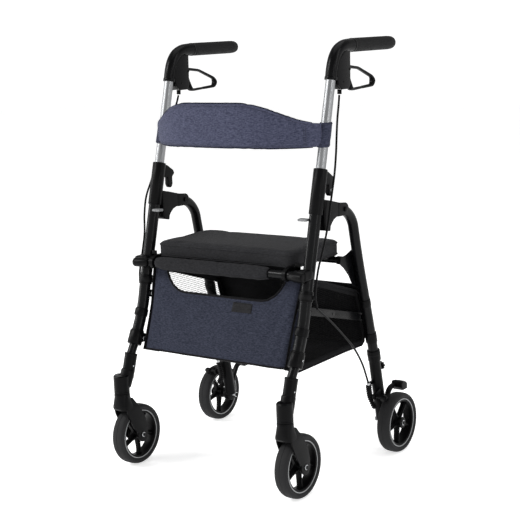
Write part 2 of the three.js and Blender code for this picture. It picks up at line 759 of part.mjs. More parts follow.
// ---- brake cables ----
const CABLE_R = 2.5;
const UPPER_CABLE = [
  [240, 14.6, 903.5],
  [241, 10, 886],
  [246, -6, 850],
  [254, -24, 812],
  [260, -38, 775],
  [263, -52, 728],
  [263.5, -70, 672],
  [263.5, -88, 612],
  [263, -108, 566],
  [263, -132, 520],
  [263, -142, 488],
  [262.5, -147, 458],
  [262, -141, 432],
];
// The cable on the user's right bows outwards and runs down the outer face of its socket.
const UPPER_CABLE_RIGHT = [
  [-240, 14.6, 903.5],
  [-242, 8, 884],
  [-250, -10, 842],
  [-258, -32, 798],
  [-262, -56, 748],
  [-263, -79, 702],
  [-264, -104, 658],
  [-264, -114, 616],
  [-264, -118, 568],
  [-263, -132, 520],
  [-263, -142, 488],
  [-262.5, -147, 458],
  [-262, -141, 432],
];
const LOWER_CABLE = [
  [261.8, -139, 429],
  [260, -118, 415],
  [257, -78, 387],
  [252, -20, 343],
  [246, 40, 294],
  [241, 86, 241],
  [236, 120, 184],
];
const cable = (points) => rod(points.map((p) => at(...p)), CABLE_R, 8, 28);
place("brake_cable_upper_left", cable(UPPER_CABLE), CABLE_SKIN);
place("brake_cable_upper_right", cable(UPPER_CABLE_RIGHT), CABLE_SKIN);
placePair("brake_cable_lower", cable(LOWER_CABLE), CABLE_SKIN);

const BELLOWS_LINE = [
  [236, 121, 182],
  [234, 126, 160],
  [236, 133, 135],
  [246, 133, 116],
];
placePair("cable_bellows", rod(BELLOWS_LINE.map((p) => at(...p)), 7, 10, 10), BLACK_PLASTIC);

// The frame's origin is on the floor, under the middle of the whole object's box.
object.updateMatrixWorld(true);
const whole = new THREE.Box3().setFromObject(object);
object.position.y = -(whole.min.y + whole.max.y) / 2;

export default object;
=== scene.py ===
"""Looks of the rollator walker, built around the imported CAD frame.

Metres, +Z up, +X to the user's left, -Y to the front."""

import json
import math

import bmesh
import bpy
import numpy as np
from mathutils import Matrix, Vector, noise
from mathutils.bvhtree import BVHTree


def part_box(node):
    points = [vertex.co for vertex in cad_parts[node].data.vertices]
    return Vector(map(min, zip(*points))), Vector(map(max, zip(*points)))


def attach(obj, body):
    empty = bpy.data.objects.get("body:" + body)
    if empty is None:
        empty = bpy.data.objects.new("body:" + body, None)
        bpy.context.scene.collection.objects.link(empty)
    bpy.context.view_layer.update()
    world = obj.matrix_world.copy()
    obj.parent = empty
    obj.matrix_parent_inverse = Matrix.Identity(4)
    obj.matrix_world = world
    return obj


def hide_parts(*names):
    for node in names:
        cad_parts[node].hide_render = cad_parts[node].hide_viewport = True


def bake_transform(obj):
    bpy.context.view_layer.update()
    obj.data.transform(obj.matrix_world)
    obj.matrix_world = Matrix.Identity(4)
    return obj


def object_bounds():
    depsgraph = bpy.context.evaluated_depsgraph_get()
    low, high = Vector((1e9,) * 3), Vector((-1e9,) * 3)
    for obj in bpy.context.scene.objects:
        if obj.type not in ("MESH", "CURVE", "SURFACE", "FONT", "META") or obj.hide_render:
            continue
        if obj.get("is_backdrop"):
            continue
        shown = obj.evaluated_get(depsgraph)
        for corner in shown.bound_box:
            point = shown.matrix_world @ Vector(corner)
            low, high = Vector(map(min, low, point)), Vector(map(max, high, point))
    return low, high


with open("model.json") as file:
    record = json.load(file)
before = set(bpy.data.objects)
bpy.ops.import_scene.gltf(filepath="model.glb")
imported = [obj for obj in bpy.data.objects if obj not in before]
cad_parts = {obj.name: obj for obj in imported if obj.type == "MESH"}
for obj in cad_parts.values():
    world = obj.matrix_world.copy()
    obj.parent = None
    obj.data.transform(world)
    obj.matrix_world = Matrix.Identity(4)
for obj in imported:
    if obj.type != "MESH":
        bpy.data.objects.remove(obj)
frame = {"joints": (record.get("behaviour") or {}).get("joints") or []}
scene = bpy.context.scene
CAD_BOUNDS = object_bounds()
JOINTS = {j["name"]: j for j in frame["joints"]}

MM = 0.001
X = Vector((1, 0, 0))
Y = Vector((0, 1, 0))
Z = Vector((0, 0, 1))


# ---- camera ----
AIM = Vector((0, 0.012, 0.499))
AZIMUTH, ELEVATION, ROLL = 36.02, 10.49, -2.30
DISTANCE = 3.13
LENS = 87.54

azimuth, elevation = math.radians(AZIMUTH), math.radians(ELEVATION)
level = Vector((math.cos(azimuth), math.sin(azimuth), 0))
back = Vector((math.sin(azimuth), -math.cos(azimuth), 0)) * math.cos(elevation) + Z * math.sin(elevation)
rise = back.cross(level)
roll = math.radians(ROLL)
right = level * math.cos(roll) + rise * math.sin(roll)
up = rise * math.cos(roll) - level * math.sin(roll)
camera = bpy.data.objects.new("camera", bpy.data.cameras.new("camera"))
scene.collection.objects.link(camera)
facing = Matrix((right, up, back)).transposed().to_4x4()
camera.matrix_world = Matrix.Translation(AIM + back * DISTANCE) @ facing
camera.data.lens = LENS
camera.data.sensor_width = 36
camera.data.shift_x = 0.0033
camera.data.clip_start = 0.1
camera.data.clip_end = 30
scene.camera = camera


# ---- materials ----
class Graph:
    """Short hands for the nodes of one material."""

    def __init__(self, name):
        self.material = bpy.data.materials.new(name)
        self.material.use_nodes = True
        self.tree = self.material.node_tree
        self.shader = self.tree.nodes["Principled BSDF"]

    def node(self, kind, **settings):
        made = self.tree.nodes.new(kind)
        for key, value in settings.items():
            if hasattr(made, key):
                setattr(made, key, value)
            else:
                made.inputs[key].default_value = value
        return made

    def link(self, source, target):
        self.tree.links.new(source, target)

    def place(self, scale=(1, 1, 1)):
        """Object coordinates in metres, stretched by scale."""
        coordinates = self.node("ShaderNodeTexCoord")
        mapping = self.node("ShaderNodeMapping")
        mapping.inputs["Scale"].default_value = scale
        self.link(coordinates.outputs["Object"], mapping.inputs["Vector"])
        return mapping.outputs["Vector"]

    def noise(self, size, detail=3.0, stretch=(1, 1, 1)):
        """Noise whose lumps are about size metres across."""
        made = self.node("ShaderNodeTexNoise", Scale=1 / size, Detail=detail)
        self.link(self.place(stretch), made.inputs["Vector"])
        return made.outputs["Fac"]

    def spread(self, value, low, high, start=0.3, end=0.7):
        made = self.node("ShaderNodeMapRange")
        self.link(value, made.inputs["Value"])
        for key, number in (("From Min", start), ("From Max", end), ("To Min", low), ("To Max", high)):
            made.inputs[key].default_value = number
        return made.outputs["Result"]

    def mix(self, factor, first, second):
        made = self.node("ShaderNodeMix", data_type="RGBA")
        self.link(factor, made.inputs["Factor"])
        made.inputs["A"].default_value = (*first, 1)
        made.inputs["B"].default_value = (*second, 1)
        return made.outputs["Result"]

    def math(self, operation, first, second):
        made = self.node("ShaderNodeMath", operation=operation)
        for slot, value in zip(made.inputs, (first, second)):
            if isinstance(value, (int, float)):
                slot.default_value = value
            else:
                self.link(value, slot)
        return made.outputs[0]

    def bump(self, height, depth, strength=1.0):
        made = self.node("ShaderNodeBump", Strength=strength, Distance=depth)
        self.link(height, made.inputs["Height"])
        self.link(made.outputs["Normal"], self.shader.inputs["Normal"])


def shades(colour, change):
    return [c * (1 - change) for c in colour], [c * (1 + change) for c in colour]


def hard_material(
    name, colour, roughness, metallic=0.0, vary=0.12, grain=0.0004, depth=0.00002, coat=0.0, specular=0.5
):
    """Painted, moulded or plated surface with slight unevenness in colour, gloss and height."""
    graph = Graph(name)
    broad = graph.noise(0.03)
    fine = graph.noise(grain, 2.0)
    graph.link(graph.mix(graph.spread(broad, 0, 1), *shades(colour, vary)), graph.shader.inputs["Base Color"])
    uneven = 0.02 if depth else 0.002
    gloss = graph.math(
        "ADD", graph.spread(broad, roughness * 0.9, roughness * 1.1), graph.spread(fine, -uneven, uneven)
    )
    graph.link(gloss, graph.shader.inputs["Roughness"])
    graph.shader.inputs["Metallic"].default_value = metallic
    graph.shader.inputs["Coat Weight"].default_value = coat
    graph.shader.inputs["Coat Roughness"].default_value = 0.08
    graph.shader.inputs["Specular IOR Level"].default_value = specular
    if depth:
        graph.bump(fine, depth)
    return graph.material


def cloth_material(
    name, dark, light, pitch, across, along, roughness=0.9, mottle=0.0014, depth=0.00025, sheen=0.02
):
    """Plain weave with threads along two of the frame's axes, and threads of two shades."""
    graph = Graph(name)
    waves = []
    for axis in (across, along):
        wave = graph.node("ShaderNodeTexWave", wave_type="BANDS", bands_direction=axis)
        wave.inputs["Scale"].default_value = 2 * math.pi / (20 * pitch)
        wave.inputs["Distortion"].default_value = 1.2
        wave.inputs["Detail Scale"].default_value = 40
        graph.link(graph.place(), wave.inputs["Vector"])
        waves.append(wave.outputs["Fac"])
    weave = graph.math("MULTIPLY", *waves)
    fleck = graph.noise(mottle, 4.0, (0.2, 0.2, 1))
    streak = graph.noise(mottle * 1.4, 2.0, (1, 1, 0.3))
    tone = graph.math("ADD", graph.math("MULTIPLY", fleck, 0.72), graph.math("MULTIPLY", streak, 0.28))
    graph.link(
        graph.mix(graph.spread(tone, 0, 1, 0.38, 0.62), dark, light), graph.shader.inputs["Base Color"]
    )
    graph.shader.inputs["Roughness"].default_value = roughness
    graph.shader.inputs["Sheen Weight"].default_value = sheen
    graph.shader.inputs["Specular IOR Level"].default_value = 0.12
    graph.bump(graph.math("ADD", weave, graph.math("MULTIPLY", fleck, 0.5)), depth, 0.6)
    return graph.material


BRIGHT_TUBE = hard_material("bright_tube", (0.25, 0.254, 0.26), 0.36, metallic=1.0, vary=0.02, depth=0.0)
BLACK_PAINT = hard_material("black_paint", (0.0025, 0.0026, 0.003), 0.28, coat=0.04, specular=0.1)
BLACK_PLASTIC = hard_material("black_plastic", (0.002, 0.002, 0.0023), 0.36, depth=0.00003, specular=0.075)
GLOSS_PLASTIC = hard_material(
    "gloss_plastic", (0.002, 0.002, 0.0023), 0.27, coat=0.02, specular=0.075, depth=0.000004
)
SPOKE_PLASTIC = hard_material("spoke_plastic", (0.0012, 0.0012, 0.0014), 0.4, specular=0.06)
GREY_PLASTIC = hard_material("grey_plastic", (0.15, 0.154, 0.158), 0.5)
RING_GREY = hard_material("ring_grey", (0.22, 0.225, 0.23), 0.45)
GRIP_RUBBER = hard_material(
    "grip_rubber", (0.0055, 0.0055, 0.0058), 0.6, grain=0.0007, depth=0.00012, specular=0.12
)
TYRE_RUBBER = hard_material(
    "tyre_rubber", (0.012, 0.012, 0.0128), 0.75, grain=0.0009, depth=0.0001, specular=0.2
)
SOFT_RUBBER = hard_material("soft_rubber", (0.003, 0.003, 0.0034), 0.55, specular=0.12)
CABLE_SKIN = hard_material("cable_skin", (0.002, 0.002, 0.0024), 0.32, specular=0.08)
ZINC = hard_material("zinc", (0.50, 0.51, 0.52), 0.28, metallic=1.0, vary=0.08)
NAVY_X = cloth_material("navy_weave", (0.025, 0.028, 0.050), (0.068, 0.072, 0.115), 0.0011, "X", "Z")
# Painted shade: the band's navy weave again, darker, for the basket front and its corner edges, which face
# slightly downwards and get less light.
NAVY_SHADED = cloth_material(
    "navy_weave_shaded", (0.0115, 0.0138, 0.0235), (0.033, 0.0365, 0.0555), 0.0011, "X", "Z"
)
# Painted shade: the band's navy weave again, darker, for its sleeves round the handle posts.
NAVY_SLEEVE_SHADED = cloth_material(
    "navy_weave_sleeve_shaded", (0.016, 0.018, 0.032), (0.044, 0.048, 0.078), 0.0011, "X", "Z"
)
NAVY_BINDING = cloth_material("navy_binding", (0.005, 0.006, 0.012), (0.016, 0.018, 0.034), 0.0009, "X", "Z")
SEAT_CLOTH = cloth_material(
    "seat_cloth", (0.011, 0.011, 0.012), (0.021, 0.021, 0.0232), 0.0009, "X", "Y", roughness=0.85
)
BLACK_CLOTH = cloth_material("black_cloth", (0.0015, 0.0015, 0.002), (0.004, 0.004, 0.0048), 0.0012, "X", "Z")
SLEEVE_CLOTH = cloth_material("sleeve_cloth", (0.008, 0.008, 0.009), (0.018, 0.018, 0.020), 0.0010, "X", "Z")
TRIM_CLOTH = cloth_material("trim_cloth", (0.002, 0.002, 0.0026), (0.006, 0.006, 0.0072), 0.0008, "X", "Z")
NET_CORD = hard_material("net_cord", (0.002, 0.002, 0.0024), 0.7, specular=0.1)
LABEL_CLOTH = cloth_material("label_cloth", (0.010, 0.010, 0.011), (0.020, 0.020, 0.022), 0.0007, "X", "Z")
THREAD = hard_material("thread", (0.010, 0.011, 0.016), 0.7, specular=0.25)


# ---- mesh work ----
CLOTH_SHARP = 80  # cloth is shaded smooth over edges flatter than this, in degrees
THREAD_LIFT = 0.0003  # how far stitches stand off their cloth


def as_object(name, mesh, material):
    obj = bpy.data.objects.new(name, mesh)
    scene.collection.objects.link(obj)
    mesh.materials.append(material)
    return obj


def from_bmesh(name, bm, material, sharp=35):
    bmesh.ops.recalc_face_normals(bm, faces=bm.faces)
    mesh = bpy.data.meshes.new(name)
    bm.to_mesh(mesh)
    bm.free()
    mesh.shade_smooth()
    mesh.set_sharp_from_angle(angle=math.radians(sharp))
    return as_object(name, mesh, material)


def skin(bm, rings, capped=True):
    """Faces from each closed ring of corners to the next, and across both ends when capped."""
    for first, second in zip(rings, rings[1:]):
        count = len(first)
        for k in range(count):
            j = (k + 1) % count
            bm.faces.new((first[k], first[j], second[j], second[k]))
    if capped:
        bm.faces.new(rings[0][::-1])
        bm.faces.new(rings[-1])


def prism(low, high):
    """Closed shape between two rings of points."""
    bm = bmesh.new()
    rings = [[bm.verts.new(point) for point in ring] for ring in (low, high)]
    bm.faces.new(rings[0][::-1])
    bm.faces.new(rings[1])
    skin(bm, rings, capped=False)
    bmesh.ops.recalc_face_normals(bm, faces=bm.faces)
    return bm


def quads(bm, grid):
    """Faces between the corners of a grid of columns."""
    for column, after in zip(grid, grid[1:]):
        for j in range(len(column) - 1):
            bm.faces.new((column[j], after[j], after[j + 1], column[j + 1]))


def round_edges(bm, width, segments=2, angle=32):
    """Softens every edge sharper than angle, over a width in millimetres."""
    if not width:
        return
    edges = [e for e in bm.edges if len(e.link_faces) == 2 and e.calc_face_angle(0) > math.radians(angle)]
    sizes = {"offset": width * MM, "segments": segments, "profile": 0.6}
    bmesh.ops.bevel(bm, geom=edges, affect="EDGES", clamp_overlap=True, **sizes)


def curve_points(points, step=0.004, closed=False):
    """Points about step apart on a smooth curve through the given ones."""
    given = [Vector(p) for p in points]
    count = len(given)
    made = []
    spans = count if closed else count - 1
    for i in range(spans):
        if closed:
            a, b, c, d = (given[(i + k) % count] for k in (-1, 0, 1, 2))
        else:
            b, c = given[i], given[i + 1]
            a = given[i - 1] if i else b + (b - c)
            d = given[i + 2] if i + 2 < count else c + (c - b)
        knots = [0.0]
        for p, q in ((a, b), (b, c), (c, d)):
            knots.append(knots[-1] + max((q - p).length, 1e-9) ** 0.5)
        steps = max(2, math.ceil((c - b).length / step))
        for j in range(steps):
            t = knots[1] + (knots[2] - knots[1]) * j / steps
            made.append(_centripetal(a, b, c, d, knots, t))
    if not closed:
        made.append(given[-1])
    return made


def _centripetal(a, b, c, d, knots, t):
    def between(p, q, low, high):
        return p * ((high - t) / (high - low)) + q * ((t - low) / (high - low))

    k0, k1, k2, k3 = knots
    ab, bc, cd = between(a, b, k0, k1), between(b, c, k1, k2), between(c, d, k2, k3)
    return between(between(ab, bc, k0, k2), between(bc, cd, k1, k3), k1, k2)


def circle(radius, sides=28):
    turns = [2 * math.pi * i / sides for i in range(sides)]
    return [(radius * math.cos(turn), radius * math.sin(turn)) for turn in turns]


def oval(half_u, half_v, power=2.0, sides=28):
    """Rounded section: a higher power is squarer."""
    points = []
    for i in range(sides):
        c, s = math.cos(2 * math.pi * i / sides), math.sin(2 * math.pi * i / sides)
        u, v = (math.copysign(abs(part) ** (2 / power), part) for part in (c, s))
        points.append((half_u * u, half_v * v))
    return points


def sweep(name, points, section, material, side=None, closed=False, scale=None, ends=0.0, sharp=50):
    """Carries a section in millimetres along points in metres. side keeps the section's first axis fixed,
    scale(share) sizes it and ends rounds both ends over that many millimetres."""
    path = [Vector(p) for p in points]
    if ends and not closed:
        length = sum((q - p).length for p, q in zip(path, path[1:]))
        path, sizes = _with_round_ends(path, ends * MM, length)
    else:
        sizes = [1.0] * len(path)
    bm = bmesh.new()
    rings = []
    normal = None
    count = len(path)
    for i, point in enumerate(path):
        if closed:
            tangent = (path[(i + 1) % count] - path[i - 1]).normalized()
        else:
            tangent = (path[min(i + 1, count - 1)] - path[max(i - 1, 0)]).normalized()
        if side is not None:
            normal = (side - tangent * side.dot(tangent)).normalized()
        elif normal is None:
            normal = tangent.orthogonal().normalized()
        else:
            normal = (normal - tangent * normal.dot(tangent)).normalized()
        other = tangent.cross(normal)
        size = sizes[i] * (scale(i / max(count - 1, 1)) if scale else 1.0) * MM
        rings.append([bm.verts.new(point + normal * (u * size) + other * (v * size)) for u, v in section])
    skin(bm, [*rings, rings[0]] if closed else rings, capped=not closed)
    return from_bmesh(name, bm, material, sharp)


def _with_round_ends(path, ends, length):
    """The path with extra points near both ends, and the section's size at each point."""
    travelled = [0.0]
    for p, q in zip(path, path[1:]):
        travelled.append(travelled[-1] + (q - p).length)
    shares = [0.0, 0.05, 0.15, 0.3, 0.5, 0.75, 1.0]
    marks = sorted(
        {round(s * ends, 7) for s in shares}
        | {round(length - s * ends, 7) for s in shares}
        | {round(t, 7) for t in travelled if ends < t < length - ends}
    )
    made, sizes = [], []
    for mark in marks:
        i = max(k for k in range(len(travelled)) if travelled[k] <= mark + 1e-9)
        i = min(i, len(path) - 2)
        share = (mark - travelled[i]) / max(travelled[i + 1] - travelled[i], 1e-9)
        made.append(path[i].lerp(path[i + 1], min(max(share, 0.0), 1.0)))
        near = min(mark, length - mark)
        fall = 1 - min(near / ends, 1.0)
        sizes.append(max(math.sqrt(max(1 - fall * fall, 0)) * 0.35 + 0.65, 0.05) if near < ends else 1.0)
    return made, sizes


def lathe(name, profile, centre, axis, material, sides=48, sharp=35):
    """Turns (radius, height) points in millimetres about the axis through centre. A radius of 0 is a tip."""
    axis = Vector(axis).normalized()
    u = axis.orthogonal().normalized()
    v = axis.cross(u)
    bm = bmesh.new()
    rings = []
    for radius, height in profile:
        middle = Vector(centre) + axis * (height * MM)
        if not radius:
            rings.append([bm.verts.new(middle)])
            continue
        arms = circle(radius * MM, sides)
        rings.append([bm.verts.new(middle + u * across + v * over) for across, over in arms])
    for first, second in zip(rings, rings[1:]):
        for k in range(sides):
            near = [first[i % len(first)] for i in (k, k + 1)]
            far = [second[i % len(second)] for i in (k + 1, k)]
            unique = list(dict.fromkeys(near + far))
            if len(unique) > 2:
                bm.faces.new(unique)
    return from_bmesh(name, bm, material, sharp)


def ring_lathe(name, profile, centre, axis, material, sides=64, sharp=35):
    """Turns a closed loop of (radius, height) points about the axis."""
    return lathe(name, [*profile, profile[0]], centre, axis, material, sides, sharp)


def disc(name, centre, axis, radius, thickness, material, edge=0.8, sides=40):
    """Short round bar with softened edges, centred on centre. Sizes are in millimetres."""
    half = thickness / 2
    edge = min(edge, half * 0.9, radius * 0.5)
    profile = [
        (0, -half),
        (radius - edge, -half),
        (radius - edge * 0.3, -half + edge * 0.3),
        (radius, -half + edge),
        (radius, half - edge),
        (radius - edge * 0.3, half - edge * 0.3),
        (radius - edge, half),
        (0, half),
    ]
    return lathe(name, profile, centre, axis, material, sides, 40)


def hex_head(name, centre, axis, radius, thickness, material):
    """Six-sided bar centred on centre. Sizes are in millimetres."""
    axis = Vector(axis).normalized()
    u = axis.orthogonal().normalized()
    v = axis.cross(u)
    corners = [Vector(centre) + u * across + v * over for across, over in circle(radius * MM, 6)]
    rise = axis * (thickness / 2 * MM)
    bm = prism([corner - rise for corner in corners], [corner + rise for corner in corners])
    return from_bmesh(name, bm, material)


def plate(name, outline, x0, x1, material, edge=1.2, segments=3):
    """Prism between two x values over a (y, z) outline, in metres, its edges softened by edge millimetres."""
    bm = prism([(x0, y, z) for y, z in outline], [(x1, y, z) for y, z in outline])
    round_edges(bm, edge, segments)
    return from_bmesh(name, bm, material)


def block(name, low, high, material, edge=1.2):
    (x0, y0, z0), (x1, y1, z1) = low, high
    return plate(name, [(y0, z0), (y1, z0), (y1, z1), (y0, z1)], x0, x1, material, edge)


def arc(y, z, radius, start, end, steps=8):
    angles = [math.radians(start + (end - start) * i / steps) for i in range(steps + 1)]
    return [(y + radius * math.cos(a), z + radius * math.sin(a)) for a in angles]


def joined(name, *parts):
    """One object out of several, keeping each one's material."""
    bpy.ops.object.select_all(action="DESELECT")
    for part in parts:
        part.select_set(True)
    bpy.context.view_layer.objects.active = parts[0]
    bpy.ops.object.join()
    parts[0].name = name
    parts[0].data.name = name
    return parts[0]


def mirrored(obj, name):
    mesh = obj.data.copy()
    mesh.transform(Matrix.Scale(-1, 4, X))
    mesh.flip_normals()
    mesh.name = name
    twin = bpy.data.objects.new(name, mesh)
    scene.collection.objects.link(twin)
    return twin


def put(obj, body, slot, *nodes):
    """obj rides on a body and stands for CAD nodes, which are hidden; slot is not used."""
    if nodes:
        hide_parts(*nodes)
    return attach(obj, body)


def put_pair(obj, body, slot, *nodes):
    """The same for a left-hand piece and its mirror image. Names end in _left."""
    other = mirrored(obj, obj.name.replace("_left", "_right"))
    put(obj, body, slot, *nodes)
    put(other, body.replace("_left", "_right"), slot, *[n.replace("_left", "_right") for n in nodes])
    return obj, other


def side(points, x):
    """3-D points from (y, z) in the plane at x."""
    return [Vector((x, y, z)) for y, z in points]


def middle(node):
    low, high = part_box(node)
    return (low + high) / 2


def pivot(joint):
    return Vector(JOINTS[joint]["pos_m"])


# ---- where the side frames run, as (y, z) in millimetres from the fold pivot's y ----
SIDE_X = middle("handle_post_left").x
SIDE = round(SIDE_X / MM, 3)
SHIFT = pivot("frame_fold").y
FOLD_AXIS = (0, 640)
FRONT_AXLE = (-213, 75)
REAR_AXLE = (178, 75)
FRONT_BAR = (-164, 507)
REAR_BAR = (38, 508)
BRACE_FRONT, BRACE_REAR = (-150, 424), (117, 353)
SHOE_PIVOT = (127, 150)
CASTER = (244, -258)  # x and y of the swivel axis
FRONT_WHEEL_X = middle("front_tyre_left").x
REAR_WHEEL_X = middle("rear_tyre_left").x


def mm(points):
    return [(SHIFT + y * MM, z * MM) for y, z in points]


def at(x, y, z):
    """A point from millimetres."""
    return Vector((x * MM, SHIFT + y * MM, z * MM))


def post_y(z):
    return -24 - 0.27 * (925 - z)


def on_post(z, x=SIDE_X):
    return Vector((x, SHIFT + post_y(z) * MM, z * MM))


def side_tube(name, points, radius, material, step=0.006, ends=0.0, x=SIDE_X, sides=36):
    path = curve_points(side(mm(points), x), step)
    return sweep(name, path, circle(radius, sides), material, side=X, ends=ends)


def side_plate(name, outline, low, high, material, edge=1.2, segments=3, x=SIDE):
    """Plate over a (y, z) outline, from low to high outwards of x, all in millimetres."""
    return plate(name, mm(outline), (x + low) * MM, (x + high) * MM, material, edge, segments)


def collar(name, low, high, radius, material, edge=1.2):
    """Short sleeve between two points."""
    low, high = Vector(low), Vector(high)
    return disc(name, (low + high) / 2, high - low, radius, (high - low).length / MM, material, edge)


def bolt(name, centre, radius=5, thickness=3, axis=X, material=ZINC):
    head = disc(name, centre, axis, radius, thickness, material, 1.0, 28)
    socket = hex_head(
        name + "_key", centre + Vector(axis) * (thickness / 2 * MM), axis, radius * 0.45, 0.6, SOFT_RUBBER
    )
    return joined(name, head, socket)


# ---- front legs ----
def front_leg():
    upper_line = [
        (post_y(735), 735), (post_y(640), 640), (post_y(530), 530), (post_y(440), 440), (-163.5, 405),
        (-177, 368), (-194, 332),
    ]
    upper = side_tube("upper", upper_line, 14.2, BLACK_PAINT)
    inner = side_tube("inner", [(-188, 345), (-205, 310), (-221.5, 283), (-229, 265)], 11, BLACK_PAINT)
    high_ring = collar("high_ring", on_post(447), on_post(470), 16.4, BLACK_PLASTIC)
    low_ring = collar("low_ring", at(SIDE, -177.8, 370), at(SIDE, -170, 388), 16.6, BLACK_PLASTIC, 2.5)
    clamp = collar("clamp", at(SIDE, -208, 304), at(SIDE, -192, 336), 18, BLACK_PLASTIC, 3)
    rim = collar("rim", at(SIDE, -193.5, 332), at(SIDE, -190.5, 338.5), 16, BLACK_PLASTIC, 1.5)
    ear = block("ear", at(220, -203, 309), at(232, -182, 329), BLACK_PLASTIC, 2.5)
    screw = bolt("screw", at(258.2, -199, 321), 2.6, 2)
    stud = bolt("stud", at(218.5, -193, 319), 4.5, 3, -X)
    brace_pin = bolt("brace_pin", at(220.5, *BRACE_FRONT), 6, 2.6, -X)
    boss = disc("boss", at(229, *BRACE_FRONT), X, 9, 10, BLACK_PAINT, 1.5)
    clip = collar("clip", on_post(452), on_post(462), 17.4, SOFT_RUBBER, 0.8)
    guide = disc("guide", at(258.5, -146, 456), Z + 0.27 * Y, 5.2, 9, SOFT_RUBBER, 1.4)
    return joined(
        "front_leg_left_look", upper, inner, high_ring, low_ring, clamp, rim, ear, screw, stud, brace_pin,
        boss, clip, guide,
    )


put_pair(front_leg(), "frame", "black_metal", "front_leg_left")


# ---- height sockets, fold bolts and release tabs, with outlines as (y, z) ----
HOOK = [
    (-72, 737), (-50, 733.5), (-27, 718.5), (-23.5, 710), (-32.5, 702), (-32.5, 684), (-36, 677.5),
    (-41, 675), (-46, 677.5), (-50, 684), (-50, 703), (-72, 704),
]
ARM_ROOT = [
    (-88, 674), (-60, 668), (-22, 658), (-22, 627), (-36, 626), (-48, 622), (-57, 615), (-63, 608),
    (-65, 597), (-84, 601.5), (-88, 606),
]


def height_socket():
    body = sweep(
        "body", [on_post(639.5), on_post(700), on_post(742)], circle(16.4, 48), BLACK_PLASTIC, side=X,
        ends=1.2,
    )
    hook = side_plate("hook", HOOK, -6, 6, BLACK_PLASTIC, 2.4)
    root = side_plate("root", ARM_ROOT, -17, 17, BLACK_PLASTIC, 3, 4)
    ear_line = [(-30, 659.5), (-18, 657.5), *arc(0, 640, 15.5, 75, -75), (-8, 625.5), (-30, 626)]
    ears = [side_plate("ear", ear_line, low, low + 4.2, BLACK_PLASTIC, 1.6) for low in (-17.6, 13.4)]
    ring = lathe(
        "ring", [(0, 0), (3.4, 0), (3.4, 1), (2.2, 1), (2.2, 0.4), (0, 0.4)], at(245.8, -41, 689), X,
        RING_GREY, 24,
    )
    return joined("height_socket_left_look", body, hook, root, *ears, ring)


put_pair(height_socket(), "frame", "black_plastic", "height_socket_left")


def fold_bolt():
    centre = at(SIDE, *FOLD_AXIS)
    shank = disc("shank", centre, X, 4, 40, ZINC)
    head = bolt("head", centre + X * 19.4 * MM, 6.4, 3.2, X, BLACK_PLASTIC)
    nut = hex_head("nut", centre - X * 19.4 * MM, X, 6.4, 3.2, BLACK_PLASTIC)
    return joined("fold_bolt_left", shank, head, nut)


put_pair(fold_bolt(), "frame", "zinc", "fold_pivot_bolt_left")


def release_tab():
    tongue = block("tongue", at(205, -125, 626), at(229, -109, 632), GREY_PLASTIC, 2.2)
    ribs = []
    for x in (208.5, 211.9, 215.3, 218.7):
        ribs.append(block("rib", at(x, -122, 631.6), at(x + 1.5, -112, 632.5), GREY_PLASTIC, 0.5))
    return joined("release_tab_left", tongue, *ribs)


put_pair(release_tab(), "tab_left", "grey_plastic", "height_release_tab_left")


# ---- cross bars ----
def front_bar():
    points = [at(x, FRONT_BAR[0] - 0.16 * (1 - (x / 223) ** 2), FRONT_BAR[1]) for x in range(-226, 227, 12)]
    tube = sweep("tube", points, circle(10), BLACK_PAINT)
    saddles = []
    for x in (-SIDE, SIDE):
        sign = math.copysign(1, x)
        jaw_line = [(-174, 497), (-139, 497), (-136, 516), (-150, 521), (-172, 520)]
        jaw = side_plate("jaw", jaw_line, -14, 14, BLACK_PLASTIC, 5, 4, x)
        ends = [at(212 * sign, -168, 507), at(230 * sign, -174, 506.5), at(252 * sign, -175, 506)]
        barrel = sweep("barrel", ends, circle(11.5, 36), BLACK_PLASTIC, ends=5)
        cup = disc("cup", at(x - 17 * sign, *FRONT_BAR), X, 13, 10, BLACK_PLASTIC, 2.5)
        saddles += [jaw, barrel, cup]
    return joined("front_cross_bar_look", tube, *saddles)


put(front_bar(), "frame", "black_metal", "front_cross_bar")

GUSSET = [
    (18, 502), (36, 489), (56, 468), (72, 442), (84, 434), (98, 436), (86, 486), (74, 530), (48, 521),
    (22, 517),
]


def rear_bar():
    bar = sweep("bar", [at(x, *REAR_BAR) for x in (-226, 0, 226)], circle(8), BLACK_PAINT)
    parts = [bar]
    for s in (-1, 1):
        web = side_plate("web", GUSSET, s * 225.4, s * 227.2, BLACK_PAINT, 0.9, x=0)
        knob = disc("knob", at(s * 216, *REAR_BAR), X, 10, 18, BLACK_PLASTIC, 2)
        rivets = [
            disc("rivet", at(s * 225, y, z), X, 3.2, 2, ZINC, 0.8, 20) for y, z in ((66, 515), (76, 460))
        ]
        parts += [web, knob, *rivets]
    return joined("rear_cross_bar_look", *parts)


put(rear_bar(), "rear_frame", "black_metal", "rear_cross_bar")


# ---- casters ----
CASTER_BARREL = [
    (6.7, 0), (18.6, 0), (19.2, 0.8), (19.2, 3.6), (18.5, 4.4), (19.2, 5.2), (19.2, 42.5), (17, 45.6),
    (6.7, 45.8),
]


